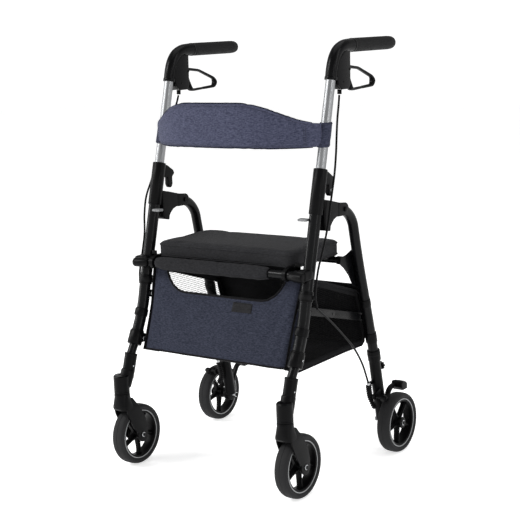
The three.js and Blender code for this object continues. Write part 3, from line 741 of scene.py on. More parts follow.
def caster_head():
    barrel = ring_lathe("barrel", CASTER_BARREL, at(*CASTER, 192.2), Z, BLACK_PLASTIC, 56)
    plug = disc("plug", at(*CASTER, 235), Z, 8, 4, BLACK_PLASTIC, 1)
    sleeve = sweep(
        "sleeve", curve_points([at(SIDE, -240, 226), at(SIDE, -231, 252), at(SIDE, -220.5, 284)], 0.005),
        circle(15.5, 40), BLACK_PLASTIC, side=X,
    )
    shoulder = sweep(
        "shoulder", [at(242, -252, 206), at(241, -243, 226), at(SIDE, -234, 248)], oval(17.4, 16.4),
        BLACK_PLASTIC, side=X, ends=6,
    )
    lip = collar("lip", at(SIDE, -222.6, 279), at(SIDE, -220.3, 285), 16, BLACK_PLASTIC, 1.2)
    dots = [disc("dot", at(SIDE + s * 15.3, -232, 256), X * s, 2, 1, ZINC, 0.4, 20) for s in (-1, 1)]
    return joined("caster_head_left_look", barrel, plug, sleeve, shoulder, lip, *dots)


put_pair(caster_head(), "frame", "black_plastic", "caster_head_left")

# Front and rear edge of the fork's cheeks from the column down to the hub, as (y, z).
CHEEK_FRONT = [(-268, 176), (-267, 167), (-266.5, 156), (-264.5, 141), (-255, 119), (-243, 97), (-233, 84)]
CHEEK_REAR = [(-195.5, 84), (-197.5, 100), (-204, 122), (-213, 138), (-223.5, 154), (-233, 167), (-241, 177)]


def drawn_in(cheek, x, foot, top, amount):
    """Leans the upper part of a cheek in towards the column, from nothing at foot to amount at top."""
    bm = bmesh.new()
    bm.from_mesh(cheek.data)
    for i in range(8):
        cut = foot + (top - foot) * i / 8
        everything = [*bm.verts, *bm.edges, *bm.faces]
        bmesh.ops.bisect_plane(bm, geom=everything, plane_co=(0, 0, cut), plane_no=Z)
    for vert in bm.verts:
        share = min(max((vert.co.z - foot) / (top - foot), 0), 1)
        vert.co.x -= math.copysign(amount, vert.co.x - x) * share * share * (3 - 2 * share)
    bm.to_mesh(cheek.data)
    bm.free()
    return cheek


def caster_fork():
    x = FRONT_WHEEL_X
    column = disc("column", at(*CASTER, 177), Z, 19.4, 29, BLACK_PLASTIC, 0.9, 56)
    groove = disc("groove", at(*CASTER, 186), Z, 19.7, 1.6, BLACK_PLASTIC, 0.6, 56)
    outline = [*CHEEK_FRONT, *arc(*FRONT_AXLE, 18, 155, 385, 14), *CHEEK_REAR]
    smooth = [(p.y, p.z) for p in curve_points([Vector((0, y, z)) for y, z in outline], 5, True)]
    cheeks = []
    for inner, outer in ((-22.4, -18.7), (18.7, 22.4)):
        cheek = plate("cheek", mm(smooth), x + inner * MM, x + outer * MM, BLACK_PLASTIC, 1.7)
        cheeks.append(drawn_in(cheek, x, 146 * MM, 177 * MM, 4.5 * MM))
        face = x + math.copysign(22.4, inner) * MM
        cheeks.append(disc("boss", Vector((face, 0, 0)) + at(0, *FRONT_AXLE), X, 9, 1.2, BLACK_PLASTIC, 0.5))
    rows = [
        (191, 18, 17.5), (178, 19.3, 19.3), (170, 20, 20.2), (161, 21.4, 21), (155, 22, 20.8), (150, 22.2, 17)
    ]
    bm = bmesh.new()
    rings = []
    for z, half_x, reach in rows:
        ring = []
        for u, v in oval(half_x, 1, 2.0 + (191 - z) * 0.03, 48):
            forward = reach if v < 0 else max(19.3, 19.3 + (172 - z) * 0.7)
            ring.append(bm.verts.new(at(CASTER[0] + u, CASTER[1] + v * forward, z)))
        rings.append(ring)
    skin(bm, rings)
    yoke = from_bmesh("yoke", bm, BLACK_PLASTIC)
    stem = disc("stem", at(*CASTER, 205), Z, 6, 28, ZINC)
    return joined("caster_fork_left_look", column, groove, yoke, *cheeks, stem)


put_pair(caster_fork(), "caster_left", "black_plastic", "caster_fork_left")


def axle(name, node, at_yz, radius):
    """Axle with a dark head at each end and a bright washer under it."""
    low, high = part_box(node)
    centre = Vector(((low.x + high.x) / 2, 0, 0)) + at(0, *at_yz)
    shaft = disc("shaft", centre, X, 4.5, (high.x - low.x) / MM - 1, ZINC, 0.8)
    parts = [shaft]
    for s, end in ((1, high.x), (-1, low.x)):
        seat_point = Vector((end, centre.y, centre.z))
        parts.append(disc("washer", seat_point - X * s * 2.7 * MM, X, radius - 0.4, 0.9, ZINC, 0.3))
        parts.append(disc("head", seat_point - X * s * 1.2 * MM, X, radius - 2, 2.2, BLACK_PLASTIC, 0.7))
    return joined(name, *parts)


put_pair(
    axle("front_axle_left_look", "front_axle_left", FRONT_AXLE, 6.4), "caster_left", "zinc", "front_axle_left"
)
put_pair(
    axle("rear_axle_left_look", "rear_axle_left", REAR_AXLE, 6.8), "rear_frame", "zinc", "rear_axle_left"
)


# ---- wheels ----
TYRE = [
    (61, -13), (63.5, -15.2), (66, -16.9), (69, -17.4), (71.6, -16.2), (73.6, -13.2), (74.7, -9.6),
    (75.1, -5), (75.2, -1.4), (74.6, -0.8), (74.6, 0.8), (75.2, 1.4), (75.1, 5), (74.7, 9.6), (73.6, 13.2),
    (71.6, 16.2), (69, 17.4), (66, 16.9), (63.5, 15.2), (61, 13),
]
RIM = [
    (54, -12.6), (56, -13.6), (60.6, -13.6), (60.6, 13.6), (56, 13.6), (54, 12.6), (53, 6), (52.4, 0),
    (53, -6),
]
SPOKE = [(-7.2, 10), (7.2, 10), (4.6, 30), (4.4, 44), (6.2, 54.5), (-6.2, 54.5), (-4.4, 44), (-4.6, 30)]

TURNS = {"front": 4, "rear": -6}  # how far each wheel has rolled, degrees


def wheel(kind, x, y_z, body):
    centre = Vector((x, 0, 0)) + at(0, *y_z)
    tyre = ring_lathe(f"{kind}_tyre_left_look", TYRE, centre, X, TYRE_RUBBER, 96)
    put_pair(tyre, body, "tyre", f"{kind}_tyre_left")
    parts = [ring_lathe("ring", RIM, centre, X, SPOKE_PLASTIC, 96)]
    for face in (-1, 1):
        band = [(58.6, 13.2), (60.8, 13.2), (60.8, 14.4), (58.6, 14.4)]
        parts.append(ring_lathe("band", [(r, face * w) for r, w in band], centre, X, RING_GREY, 96))
        parts.append(disc("hub_face", centre + X * face * 15 * MM, X, 14, 4, SPOKE_PLASTIC, 1.2))
        parts.append(disc("hub_ring", centre + X * face * 16.4 * MM, X, 9.5, 2, SOFT_RUBBER, 0.6))
    parts.append(disc("hub", centre, X, 12.5, 30, SPOKE_PLASTIC))
    for i in range(5):
        turn = Matrix.Translation(centre) @ Matrix.Rotation(math.radians(72 * i + 180 + TURNS[kind]), 4, "X")
        for half, shrink in ((5.2, 1.0), (7.4, 0.45)):
            outline = [(v * shrink * MM, w * MM) for v, w in SPOKE]
            bar = plate("spoke", outline, -half * MM, half * MM, SPOKE_PLASTIC, 1.2)
            bar.data.transform(turn)
            parts.append(bar)
    rim = joined(f"{kind}_rim_left_look", *parts)
    put_pair(rim, body, "black_plastic", f"{kind}_rim_left")


wheel("front", FRONT_WHEEL_X, FRONT_AXLE, "front_wheel_left")
wheel("rear", REAR_WHEEL_X, REAR_AXLE, "rear_wheel_left")


# ---- rear legs ----
REAR_LEG = [
    (-14, 644), (2, 640), (24, 632), (44, 618), (58, 598), (64, 574), (70, 545), (84, 485), (101, 421),
    (122, 341), (134, 292), (143, 252),
]
LOWER_LEG = [(141, 262), (148, 222), (160, 160), (172, 98), (175, 76)]


def rear_leg():
    tube = side_tube("tube", REAR_LEG, 12.5, BLACK_PAINT, ends=2)
    high_ring = collar("high_ring", at(SIDE, 105, 402), at(SIDE, 110, 384), 13.9, BLACK_PLASTIC, 1.2)
    low_ring = collar("low_ring", at(SIDE, 128.6, 313), at(SIDE, 134.8, 287), 14.4, BLACK_PLASTIC, 1.6)
    lug = disc("lug", at(229, *BRACE_REAR), X, 8, 10, BLACK_PAINT, 1.4)
    shank = disc("shank", at(224, *BRACE_REAR), X, 4, 14, ZINC)
    head = bolt("head", at(217.3, *BRACE_REAR), 6, 2.2, -X)
    return joined("rear_leg_left_look", tube, high_ring, low_ring, lug, shank, head)


put_pair(rear_leg(), "rear_frame", "black_metal", "rear_leg_left")


def lower_rear_leg():
    knob_centre, knob_axis = at(SIDE, 176, 217), Y + 0.19 * Z
    tube = side_tube("tube", LOWER_LEG, 14.5, BLACK_PLASTIC, ends=3)
    clamp = collar("clamp", at(SIDE, 140.4, 266), at(SIDE, 146, 238), 16.4, BLACK_PLASTIC, 2)
    slot = collar("slot", at(SIDE, 142, 257), at(SIDE, 142.8, 254.2), 16.7, SOFT_RUBBER, 0.5)
    screw = disc("screw", at(248, 131.5, 246), X - 1.3 * Y, 2.2, 2, ZINC, 0.5, 20)
    neck = disc("neck", at(SIDE, 163, 214.5), knob_axis, 4.6, 18, BLACK_PLASTIC)
    knob = disc("knob", knob_centre, knob_axis, 9, 9, BLACK_PLASTIC, 1.6)
    grips = []
    for i in range(8):
        turn = math.radians(45 * i)
        around = X * math.cos(turn) + (Z - 0.19 * Y) * math.sin(turn)
        place = knob_centre + around * 8.6 * MM
        grips.append(disc("grip", place, knob_axis, 2.2, 8.4, BLACK_PLASTIC, 0.8, 16))
    lug_line = [(119, 155), (121, 145), (127, 142), (152, 138), (157, 168), (129, 158)]
    lug = side_plate("lug", lug_line, 5, 12, BLACK_PLASTIC, 1.6)
    pin = disc("pin", at(265, *SHOE_PIVOT), X, 3.5, 35, BLACK_PLASTIC)
    pin_head = disc("pin_head", at(283.2, *SHOE_PIVOT), X, 4.6, 1.8, BLACK_PLASTIC, 0.6, 24)
    hub = disc("hub", at(244.5, *REAR_AXLE), X, 17, 21, BLACK_PLASTIC, 2.2)
    rib = side_plate(
        "rib", [(150, 190), (156, 160), (168, 100), (174, 92), (188, 96), (176, 150), (166, 192)], -3, 3,
        BLACK_PLASTIC, 1.2,
    )
    return joined(
        "lower_rear_leg_left_look", tube, clamp, slot, screw, neck, knob, *grips, lug, pin, pin_head, hub, rib
    )


put_pair(lower_rear_leg(), "rear_frame", "black_plastic", "lower_rear_leg_left")


def brake_shoe():
    inside, outside = REAR_WHEEL_X - 14.8 * MM, REAR_WHEEL_X - 1 * MM
    outline = [*arc(*REAR_AXLE, 79, 127.5, 110), *arc(*REAR_AXLE, 85, 110, 127.5)]
    back_plate = plate("back", mm(outline), inside, outside, BLACK_PLASTIC, 1.4)
    pad_line = [*arc(*REAR_AXLE, 77.5, 126, 111), *arc(*REAR_AXLE, 80.5, 111, 126)]
    pad = plate("pad", mm(pad_line), inside + 2 * MM, outside - 1 * MM, SOFT_RUBBER, 0.6)
    hub = Vector(((inside + outside) / 2, 0, 0)) + at(0, *SHOE_PIVOT)
    knuckle = disc("knuckle", hub, X, 7, (outside - inside) / MM, BLACK_PLASTIC, 1)
    return joined("brake_shoe_left_look", back_plate, pad, knuckle)


put_pair(brake_shoe(), "shoe_left", "black_plastic", "brake_shoe_left")


PEDAL_PAD = [(234, 160), (240, 162.5), (258, 157.5), (264.5, 151), (262.5, 138), (242, 137.5), (233, 147)]


def tip_pedal():
    path = curve_points(
        side(mm([(186, 104), (198, 127), (212, 146), (230, 151), (246, 149)]), SIDE_X + 2 * MM), 0.004
    )
    arm = sweep("arm", path, oval(7, 5, 3), BLACK_PLASTIC, side=X, ends=2)
    pad = side_plate("pad", PEDAL_PAD, -4.4, 26.4, BLACK_PLASTIC, 3, 4)
    treads = []
    for i in range(4):
        y, z = 242 + 4.4 * i, 160.9 - 1.2 * i
        tread_line = [(y, z), (y + 2.4, z - 0.7), (y + 2.6, z + 1.5), (y + 0.2, z + 2.2)]
        treads.append(side_plate("tread", tread_line, 0, 22, SOFT_RUBBER, 0.6))
    return joined("tip_pedal_left_look", arm, pad, *treads)


put_pair(tip_pedal(), "rear_frame", "black_plastic", "tip_pedal_left")


# ---- side braces ----
BRACE_MIDDLE = tuple((a + b) / 2 for a, b in zip(BRACE_FRONT, BRACE_REAR))


def brace_link(name, start, end, node):
    low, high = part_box(node)
    slope = math.degrees(math.atan2(end[1] - start[1], end[0] - start[0]))
    outline = [*arc(*end, 9.5, slope - 90, slope + 90, 14), *arc(*start, 9.5, slope + 90, slope + 270, 14)]
    bar = plate("bar", mm(outline), low.x, high.x, BLACK_PAINT, 0.9)
    inset, half_width = 18, 3.15
    along = (Vector(end) - Vector(start)).normalized()
    across = Vector((along.y, -along.x)) * half_width
    near, far = Vector(start) + along * inset, Vector(end) - along * inset
    channel = [near + across, far + across, far - across, near - across]
    bead = plate("bead", mm(channel), high.x - 0.4 * MM, high.x + 0.25 * MM, BLACK_PAINT, 0.3)
    rivet = disc("rivet", Vector((high.x, 0, 0)) + at(0, *end), X, 3.4, 1.2, BLACK_PAINT, 0.4, 20)
    return joined(name, bar, bead, rivet)


put_pair(
    brace_link("brace_front_left_look", BRACE_FRONT, BRACE_MIDDLE, "brace_front_link_left"),
    "brace_front_left", "black_metal", "brace_front_link_left",
)
put_pair(
    brace_link("brace_rear_left_look", BRACE_REAR, BRACE_MIDDLE, "brace_rear_link_left"), "brace_rear_left",
    "black_metal", "brace_rear_link_left",
)


# ---- handles ----
post = sweep(
    "handle_post_left_look", [on_post(600), on_post(780), on_post(965)], circle(11.6, 48), BRIGHT_TUBE, side=X
)
put_pair(post, "handles", "bright_tube", "handle_post_left")

GRIP_Z = 1016
ELBOW = [
    (post_y(940), 940), (post_y(970), 970), (-2, 990), (13, 1005), (36, 1014), (60, GRIP_Z), (76, GRIP_Z)
]
HOUSING_WEB = [
    (-14, 948), (-8, 928), (6, 917.5), (22, 917.5), (24, 986), (45, 988), (45, 1002), (20, 1003), (-4, 984)
]
HOUSING = [(-15, 950), (-9, 928), (6, 916.5), (34, 916.5), (43, 927), (45.5, 1003), (20, 1004), (-4, 985)]


def handle_elbow():
    path = curve_points(side(mm(ELBOW), SIDE_X), 0.004)
    tube = sweep("tube", path, circle(14.4, 44), GLOSS_PLASTIC, side=X, scale=lambda t: 0.98 + 0.13 * t * t)
    foot = collar("foot", on_post(939.5), on_post(947), 15.2, GLOSS_PLASTIC, 1.4)
    lip = collar("lip", at(SIDE, 71, GRIP_Z), at(SIDE, 77, GRIP_Z), 16.6, GLOSS_PLASTIC, 1.4)
    walls = [side_plate("wall", HOUSING, low, low + 5, GLOSS_PLASTIC, 2.4) for low in (-14.8, 9.8)]
    web = side_plate("web", HOUSING_WEB, -8, 8, GLOSS_PLASTIC, 1)
    pins = [bolt("pin", at(SIDE + s * 15, 41, 962), 3, 1.4, X * s, BLACK_PLASTIC) for s in (-1, 1)]
    screws = [bolt("screw", at(SIDE + s * 15, 14, 934), 2.4, 1.2, X * s, BLACK_PLASTIC) for s in (-1, 1)]
    adjuster = disc("adjuster", at(SIDE, 16, 911), Z + 0.1 * Y, 5, 11, BLACK_PLASTIC, 0.8)
    ribs = [
        disc("rib", at(SIDE, 16, 906.6 + 2.2 * i), Z + 0.1 * Y, 5.5, 1.1, BLACK_PLASTIC, 0.4)
        for i in range(5)
    ]
    return joined("handle_elbow_left_look", tube, foot, lip, *walls, web, *pins, *screws, adjuster, *ribs)


put_pair(handle_elbow(), "handles", "black_plastic", "handle_elbow_left")


def grip():
    profile = [(0, 76.4), (15.2, 76.4), (16, 78)]
    profile += [(16 + 0.35 * (1 if i % 2 else 0), 84 + 1.6 * i) for i in range(96)]
    profile += [(16.2, 240), (15.9, 248), (15.2, 254), (13.6, 259), (10.5, 262), (6, 263.4), (0, 263.6)]
    body = lathe("grip_left_look", profile, at(SIDE, 0, GRIP_Z), Y, GRIP_RUBBER, 56, 60)
    cap = disc("cap", at(SIDE, 263, GRIP_Z), Y, 5, 1.4, SOFT_RUBBER, 0.5)
    return joined("grip_left_look", body, cap)


put_pair(grip(), "handles", "grip_rubber", "grip_left")


# Corners of the lever's loop as (y, z, how thick it is there).
LEVER_LOOP = [
    (48, 965, 1.4), (62, 966.5, 1.25), (100, 962, 1.05), (124, 953, 1.05), (161, 939, 1.2),
    (167.5, 928.5, 1.6), (161, 918, 1.4), (112, 915.5, 0.95), (72, 913.5, 1.15), (62, 917, 1.7),
    (48, 941, 1.9),
]


def with_round_corners(corners, radius, steps=4):
    """A closed path of straight runs with every corner eased off over radius."""
    path = []
    for i, corner in enumerate(corners):
        back = corners[i - 1] - corner
        on = corners[(i + 1) % len(corners)] - corner
        start = corner + back.normalized() * min(radius, back.length / 2)
        end = corner + on.normalized() * min(radius, on.length / 2)
        for k in range(steps + 1):
            t = k / steps
            path.append(start.lerp(corner, t).lerp(corner.lerp(end, t), t))
    return path


def brake_lever():
    corners = side(mm([(y, z) for y, z, _ in LEVER_LOOP]), SIDE_X)
    path = with_round_corners(corners, 6 * MM)

    def thick(share):
        count = len(LEVER_LOOP)
        return float(
            np.interp(share * count, np.arange(count) + 0.5, [t for _, _, t in LEVER_LOOP], period=count)
        )

    ring = sweep("ring", path, oval(4.9, 3.1, 2.6), BLACK_PLASTIC, side=X, closed=True, scale=thick)
    root_line = [(34, 968), (34, 950), (42, 930), (50, 924), (56, 930), (52, 950), (54, 968), (44, 971)]
    root = side_plate("root", root_line, -6, 6, BLACK_PLASTIC, 1.6)
    return joined("brake_lever_left_look", ring, root)


put_pair(brake_lever(), "lever_left", "black_plastic", "brake_lever_left")


# ---- soft goods ----
def settle(obj):
    """Applies every modifier."""
    bpy.context.view_layer.update()
    shaped = bpy.data.meshes.new_from_object(obj.evaluated_get(bpy.context.evaluated_depsgraph_get()))
    obj.modifiers.clear()
    obj.data = shaped
    return obj


def thickened(cloth, thickness, offset=-1):
    """Gives a sheet of cloth its thickness in millimetres: inwards, or to both sides with an offset of 0."""
    wall = cloth.modifiers.new("cloth", "SOLIDIFY")
    wall.thickness = thickness * MM
    wall.offset = offset
    return settle(cloth)


def swell(obj, cap, voxel=0.005, pressure=4.0, lowest=None, along=None):
    """Blows a closed cover up like a stuffed one. No point moves further than cap, below lowest, or off the
    direction that along(point) gives."""
    bpy.ops.object.select_all(action="DESELECT")
    obj.select_set(True)
    bpy.context.view_layer.objects.active = obj
    obj.data.remesh_voxel_size = voxel
    bpy.ops.object.voxel_remesh()
    start = points_of(obj.data)
    cloth = obj.modifiers.new("swell", "CLOTH")
    cloth.settings.use_pressure = True
    cloth.settings.uniform_pressure_force = pressure
    cloth.settings.effector_weights.gravity = 0
    cloth.point_cache.frame_start = 1
    cloth.point_cache.frame_end = 20
    for number in range(1, 21):
        scene.frame_set(number)
    blown = points_of(obj.evaluated_get(bpy.context.evaluated_depsgraph_get()).data)
    move = blown - start
    if along:
        ways = np.array([along(Vector(p)) for p in start])
        move = ways * np.sum(move * ways, axis=1, keepdims=True)
    reach = np.linalg.norm(move, axis=1, keepdims=True)
    start += move * np.minimum(1.0, cap / np.maximum(reach, 1e-9))
    obj.modifiers.remove(cloth)
    scene.frame_set(1)
    if lowest is not None:
        start[:, 2] = np.maximum(start[:, 2], lowest)
    obj.data.vertices.foreach_set("co", start.astype(np.float32).ravel())
    obj.data.update()
    obj.modifiers.new("finer", "SUBSURF").levels = 1
    obj.modifiers["finer"].render_levels = 1
    settle(obj)
    obj.data.shade_smooth()
    return obj


def points_of(mesh):
    flat = np.empty(len(mesh.vertices) * 3, np.float32)
    mesh.vertices.foreach_get("co", flat)
    return flat.reshape(-1, 3).astype(float)


def surface_of(obj):
    return BVHTree.FromPolygons([v.co for v in obj.data.vertices], [p.vertices[:] for p in obj.data.polygons])


def on_surface(tree, points, lift=0.0):
    """Each point moved to the nearest place on the surface and lifted off it."""
    made = []
    for point in points:
        place, normal, _, _ = tree.find_nearest(point)
        made.append(place + normal * lift)
    return made


def stitches(name, path, material=None, pitch=0.0046, length=0.003, radius=0.00045):
    """A row of thread stitches along a path."""
    bm = bmesh.new()
    travelled, due = 0.0, 0.0
    for p, q in zip(path, path[1:]):
        span = (q - p).length
        if span < 1e-9:
            continue
        along = (q - p) / span
        while due <= travelled + span:
            middle_point = p + along * (due - travelled)
            u = along.orthogonal().normalized()
            v = along.cross(u)
            rings = []
            for shift, size in ((-0.5, 0.4), (-0.3, 1), (0.3, 1), (0.5, 0.4)):
                centre = middle_point + along * shift * length
                corners = [(u, 1), (v, 1), (u, -1), (v, -1)]
                rings.append([bm.verts.new(centre + a * (b * size * radius)) for a, b in corners])
            skin(bm, rings)
            due += pitch
        travelled += span
    return from_bmesh(name, bm, material or THREAD, CLOTH_SHARP)


def rounded_outline(half_x, y0, y1, corner, steps=8):
    """(x, y) points round a rectangle with round corners."""
    points = []
    for cx, cy, start in (
        (half_x - corner, y0 + corner, -90),
        (half_x - corner, y1 - corner, 0),
        (corner - half_x, y1 - corner, 90),
        (corner - half_x, y0 + corner, 180),
    ):
        for i in range(steps + 1):
            a = math.radians(start + 90 * i / steps)
            points.append((cx + corner * math.cos(a), cy + corner * math.sin(a)))
    return points


def slab(name, half_x, y0, y1, z0, z1, corner, material, edge):
    """Board with a rounded outline, in millimetres."""
    outline = rounded_outline(half_x, y0, y1, corner)
    bm = prism([at(x, y, z0) for x, y in outline], [at(x, y, z1) for x, y in outline])
    round_edges(bm, edge, 3)
    return from_bmesh(name, bm, material)


# ---- seat ----
SEAT_HALF = 207
SEAT_FRONT, SEAT_REAR = -146, 62
PAN_TOP, CUSHION_TOP = 525, 557
SEAT_KNUCKLE = 197  # how far from the middle the seat grips the front bar
SEAT_KNUCKLE_LINE = [(10.8, -5), (14.2, -5), (15, -4), (15, 4), (14.2, 5), (10.8, 5)]
SKIRT_LOW = 517  # the cover reaches down round the edge of the board


def seat_pan():
    """Board that turns on the front bar, with ribs below it and a lip along its front edge."""
    board = slab("board", SEAT_HALF - 6, SEAT_FRONT + 5, SEAT_REAR - 6, 516.5, PAN_TOP, 20, BLACK_PLASTIC, 2)
    parts = [board]
    web_line = [(-164, 517.2), (-126, 517.2), (-126, 524.6), (-158, 524.6), (-172, 519.6)]
    for s in (-1, 1):
        place = at(s * SEAT_KNUCKLE, *FRONT_BAR)
        knuckle = ring_lathe("knuckle", SEAT_KNUCKLE_LINE, place, X, BLACK_PLASTIC, 48)
        web = side_plate("web", web_line, -5, 5, BLACK_PLASTIC, 1, x=s * SEAT_KNUCKLE)
        parts += [knuckle, web]
    for i in range(-2, 3):
        rib = block("rib", at(i * 80 - 2, -120, 513.5), at(i * 80 + 2, 20, 517), BLACK_PLASTIC, 1)
        parts.append(rib)
    parts.append(block("lip", at(-221, -143, 499), at(221, -139.5, 524), BLACK_PLASTIC, 1))
    for s in (-1, 1):
        parts.append(
            block("lip_end", at(214 * s - 7, -143, 510), at(214 * s + 7, -139.5, 532), BLACK_PLASTIC, 1)
        )
    return joined("seat_pan_look", *parts)


put(seat_pan(), "seat", "black_plastic", "seat_pan")


def seat_cushion():
    cover = slab(
        "seat_cushion_look", SEAT_HALF, SEAT_FRONT - 1, SEAT_REAR, SKIRT_LOW, CUSHION_TOP - 4, 21, SEAT_CLOTH,
        4,
    )
    swell(cover, 0.005, lowest=SKIRT_LOW * MM)
    tree = surface_of(cover)
    rows = []
    for z in (CUSHION_TOP - 8, SKIRT_LOW + 3):
        outline = rounded_outline(SEAT_HALF + 6, SEAT_FRONT - 6, SEAT_REAR + 6, 28)
        ring = curve_points([at(x, y, z) for x, y in outline], 0.006, True)
        rows.append(on_surface(tree, ring, 0.0006))
    piping = [sweep("seat_piping", row, circle(1.5, 10), SEAT_CLOTH, closed=True) for row in rows]
    inner = rounded_outline(SEAT_HALF - 7, SEAT_FRONT + 7, SEAT_REAR - 7, 20)
    upper = on_surface(
        tree, curve_points([at(x, y, CUSHION_TOP + 4) for x, y in inner], 0.004, True), THREAD_LIFT
    )
    rows = stitches("seat_stitches", [*upper, upper[0]])
    return cover, joined("seat_piping_look", *piping), rows


cushion, cushion_piping, cushion_stitches = seat_cushion()
put(cushion, "seat", "black_fabric", "seat_cushion")
put(cushion_piping, "seat", "black_fabric")
put(cushion_stitches, "seat", "black_fabric")


def cross_bar_sleeve():
    """Loose tube of cloth sewn round the front bar."""
    columns, around = 110, 36
    start, length = -186, 336
    bm = bmesh.new()
    rings = []
    for i in range(columns + 1):
        x = start + length * i / columns
        near_end = min(i, columns - i) / 6
        ring = []
        for k in range(around):
            a = 2 * math.pi * k / around
            fold = noise.noise(Vector((x / 17, 2.2 * math.cos(a), 2.2 * math.sin(a))))
            slack = noise.noise(Vector((x / 60, 5 + math.cos(a), math.sin(a))))
            low = max(0.0, -math.sin(a))
            radius = 15.6 + 1.1 * fold + 0.9 * slack + 1.5 * low
            radius = min(radius, 12.6 + 3.2 * near_end + 0.5 * fold)
            y, z = FRONT_BAR[0] + radius * math.cos(a), FRONT_BAR[1] + radius * math.sin(a)
            ring.append(bm.verts.new(at(x, y, z)))
        rings.append(ring)
    skin(bm, rings, capped=False)
    sleeve = from_bmesh("cross_bar_sleeve_look", bm, SLEEVE_CLOTH, CLOTH_SHARP)
    thickened(sleeve, 1.1)
    tree = surface_of(sleeve)
    seam = on_surface(tree, [at(x, -182, 500) for x in range(-180, 146, 4)], THREAD_LIFT)
    return sleeve, stitches("sleeve_stitches", seam)


bar_sleeve, sleeve_stitches = cross_bar_sleeve()
put(bar_sleeve, "frame", "black_fabric", "cross_bar_sleeve")
put(sleeve_stitches, "frame", "black_fabric")


# ---- backrest ----
BAND_BOTTOM = 790
BAND_BOW, BAND_BOW_DEPTH = -163, 103  # y at the middle, and how far behind that the band's ends are
BAND_CLEAR = 40  # how far out of the band the lines of its seams are first drawn
TOP_X = [0, 80, 112, 140, 170, 200, 220, 240]
TOP_Z = [898, 898, 893, 885, 871, 857, 850, 846]


def band_y(x):
    return BAND_BOW + BAND_BOW_DEPTH * abs(x / SIDE) ** 3


def band_top(x):
    return float(np.interp(abs(x), TOP_X, TOP_Z))


def band_side(x):
    """Unit vector out of the band's front face."""
    slope = 3 * BAND_BOW_DEPTH * x * abs(x) / SIDE**3
    return Vector((slope, -1, 0)).normalized()


def band_point(x, z, out):
    return at(x, band_y(x), z) + band_side(x) * (out * MM)


def backrest():
    columns, rows = 70, 16
    bm = bmesh.new()
    faces = []
    for half in (4.6, -4.6):
        grid = []
        for i in range(columns + 1):
            x = -237 + 474 * i / columns
            column = []
            for j in range(rows + 1):
                share = 0.5 - 0.5 * math.cos(math.pi * j / rows)
                low = BAND_BOTTOM + 1 + 3 * (1 - (x / SIDE) ** 2)
                z = low + (band_top(x) - 1 - low) * share
                out = half * max(0.22, (1 - abs(2 * share - 1) ** 6) ** 0.5)
                column.append(bm.verts.new(band_point(x, z, out)))
            grid.append(column)
        faces.append(grid)
    front, rear = faces
    for grid in faces:
        quads(bm, grid)
    for i in range(columns):
        for j in (0, rows):
            bm.faces.new((front[i][j], front[i + 1][j], rear[i + 1][j], rear[i][j]))
    for i in (0, columns):
        for j in range(rows):
            bm.faces.new((front[i][j], front[i][j + 1], rear[i][j + 1], rear[i][j]))
    band = from_bmesh("backrest_look", bm, NAVY_X, CLOTH_SHARP)
    swell(band, 0.004, voxel=0.0045, along=lambda p: band_side(p.x / MM))
    tree = surface_of(band)
    lines = [
        [band_point(x, band_top(x) - 8, BAND_CLEAR) for x in range(-214, 215, 4)],
        [band_point(x, BAND_BOTTOM + 8, BAND_CLEAR) for x in range(-214, 215, 4)],
    ]
    for x in (-212, 212):
        high = int(band_top(x)) - 8
        for across in (x, x - math.copysign(3, x)):
            lines.append([band_point(across, z, BAND_CLEAR) for z in range(BAND_BOTTOM + 8, high, 4)])
    rows_made = []
    for face in (1, -1):
        for line in lines:
            path = []
            for point in line:
                x = line_x(point)
                way = band_side(x) * face
                start_point = band_point(x, point.z / MM, BAND_CLEAR * face)
                place, normal, _, _ = tree.ray_cast(start_point, -way)
                if place is not None:
                    path.append(place + normal * THREAD_LIFT)
            if len(path) > 2:
                rows_made.append(stitches("band_stitches", path))
    edges = []
    for z_of in (lambda x: band_top(x) - 1.5, lambda x: BAND_BOTTOM + 1.5):
        path = [band_point(x, z_of(x), 0) for x in range(-226, 227, 5)]
        near = on_surface(tree, path, 0.0004)
        edges.append(sweep("band_edge", near, circle(1.9, 10), NAVY_BINDING, ends=2))
    return band, joined("backrest_stitches", *rows_made), joined("backrest_edging", *edges)


def line_x(point):
    """The x on the band's middle line of a point that stands BAND_CLEAR out of its front face."""
    x = point.x / MM
    for _ in range(8):
        x = point.x / MM - band_side(x).x * BAND_CLEAR
    return x


def post_sleeve():
    """Cloth sleeve of the band round a handle post."""
    low, high = BAND_BOTTOM + 0.5, 846
    count, around = 26, 40
    bm = bmesh.new()
    rings = []
    for i in range(count + 1):
        z = low + (high - low) * i / count
        ring = []
        for k in range(around):
            a = 2 * math.pi * k / around
            crease = noise.noise(Vector((z / 14, 1.6 * math.cos(a), 1.6 * math.sin(a))))
            end = min(i, count - i)
            radius = 15.2 + 0.9 * crease - (1.6 if end == 0 else 0.4 if end == 1 else 0)
            out = Vector((math.cos(a), math.sin(a), 0)) * (radius * MM)
            ring.append(bm.verts.new(on_post(z) + out))
        rings.append(ring)
    skin(bm, rings, capped=False)
    # The sleeve takes the darker navy, which is painted shade.
    sleeve = from_bmesh("backrest_sleeve_left", bm, NAVY_SLEEVE_SHADED, CLOTH_SHARP)
    thickened(sleeve, 1.6)
    hems = []
    for z in (low + 4, high - 4):
        turns = [0.12 * k for k in range(53)]
        ring = [
            on_post(z) + Vector((15.6 * math.cos(turn) * MM, 15.6 * math.sin(turn) * MM, 0)) for turn in turns
        ]
        hems.append(stitches("sleeve_hem", ring))
    return joined("backrest_sleeve_left", sleeve, *hems)


band, band_stitches, band_edging = backrest()
put(band, "handles", "navy_fabric", "backrest")
put(band_stitches, "handles", "navy_fabric")
put(band_edging, "handles", "navy_fabric")
sleeve_left, sleeve_right = put_pair(post_sleeve(), "handles", "navy_fabric")


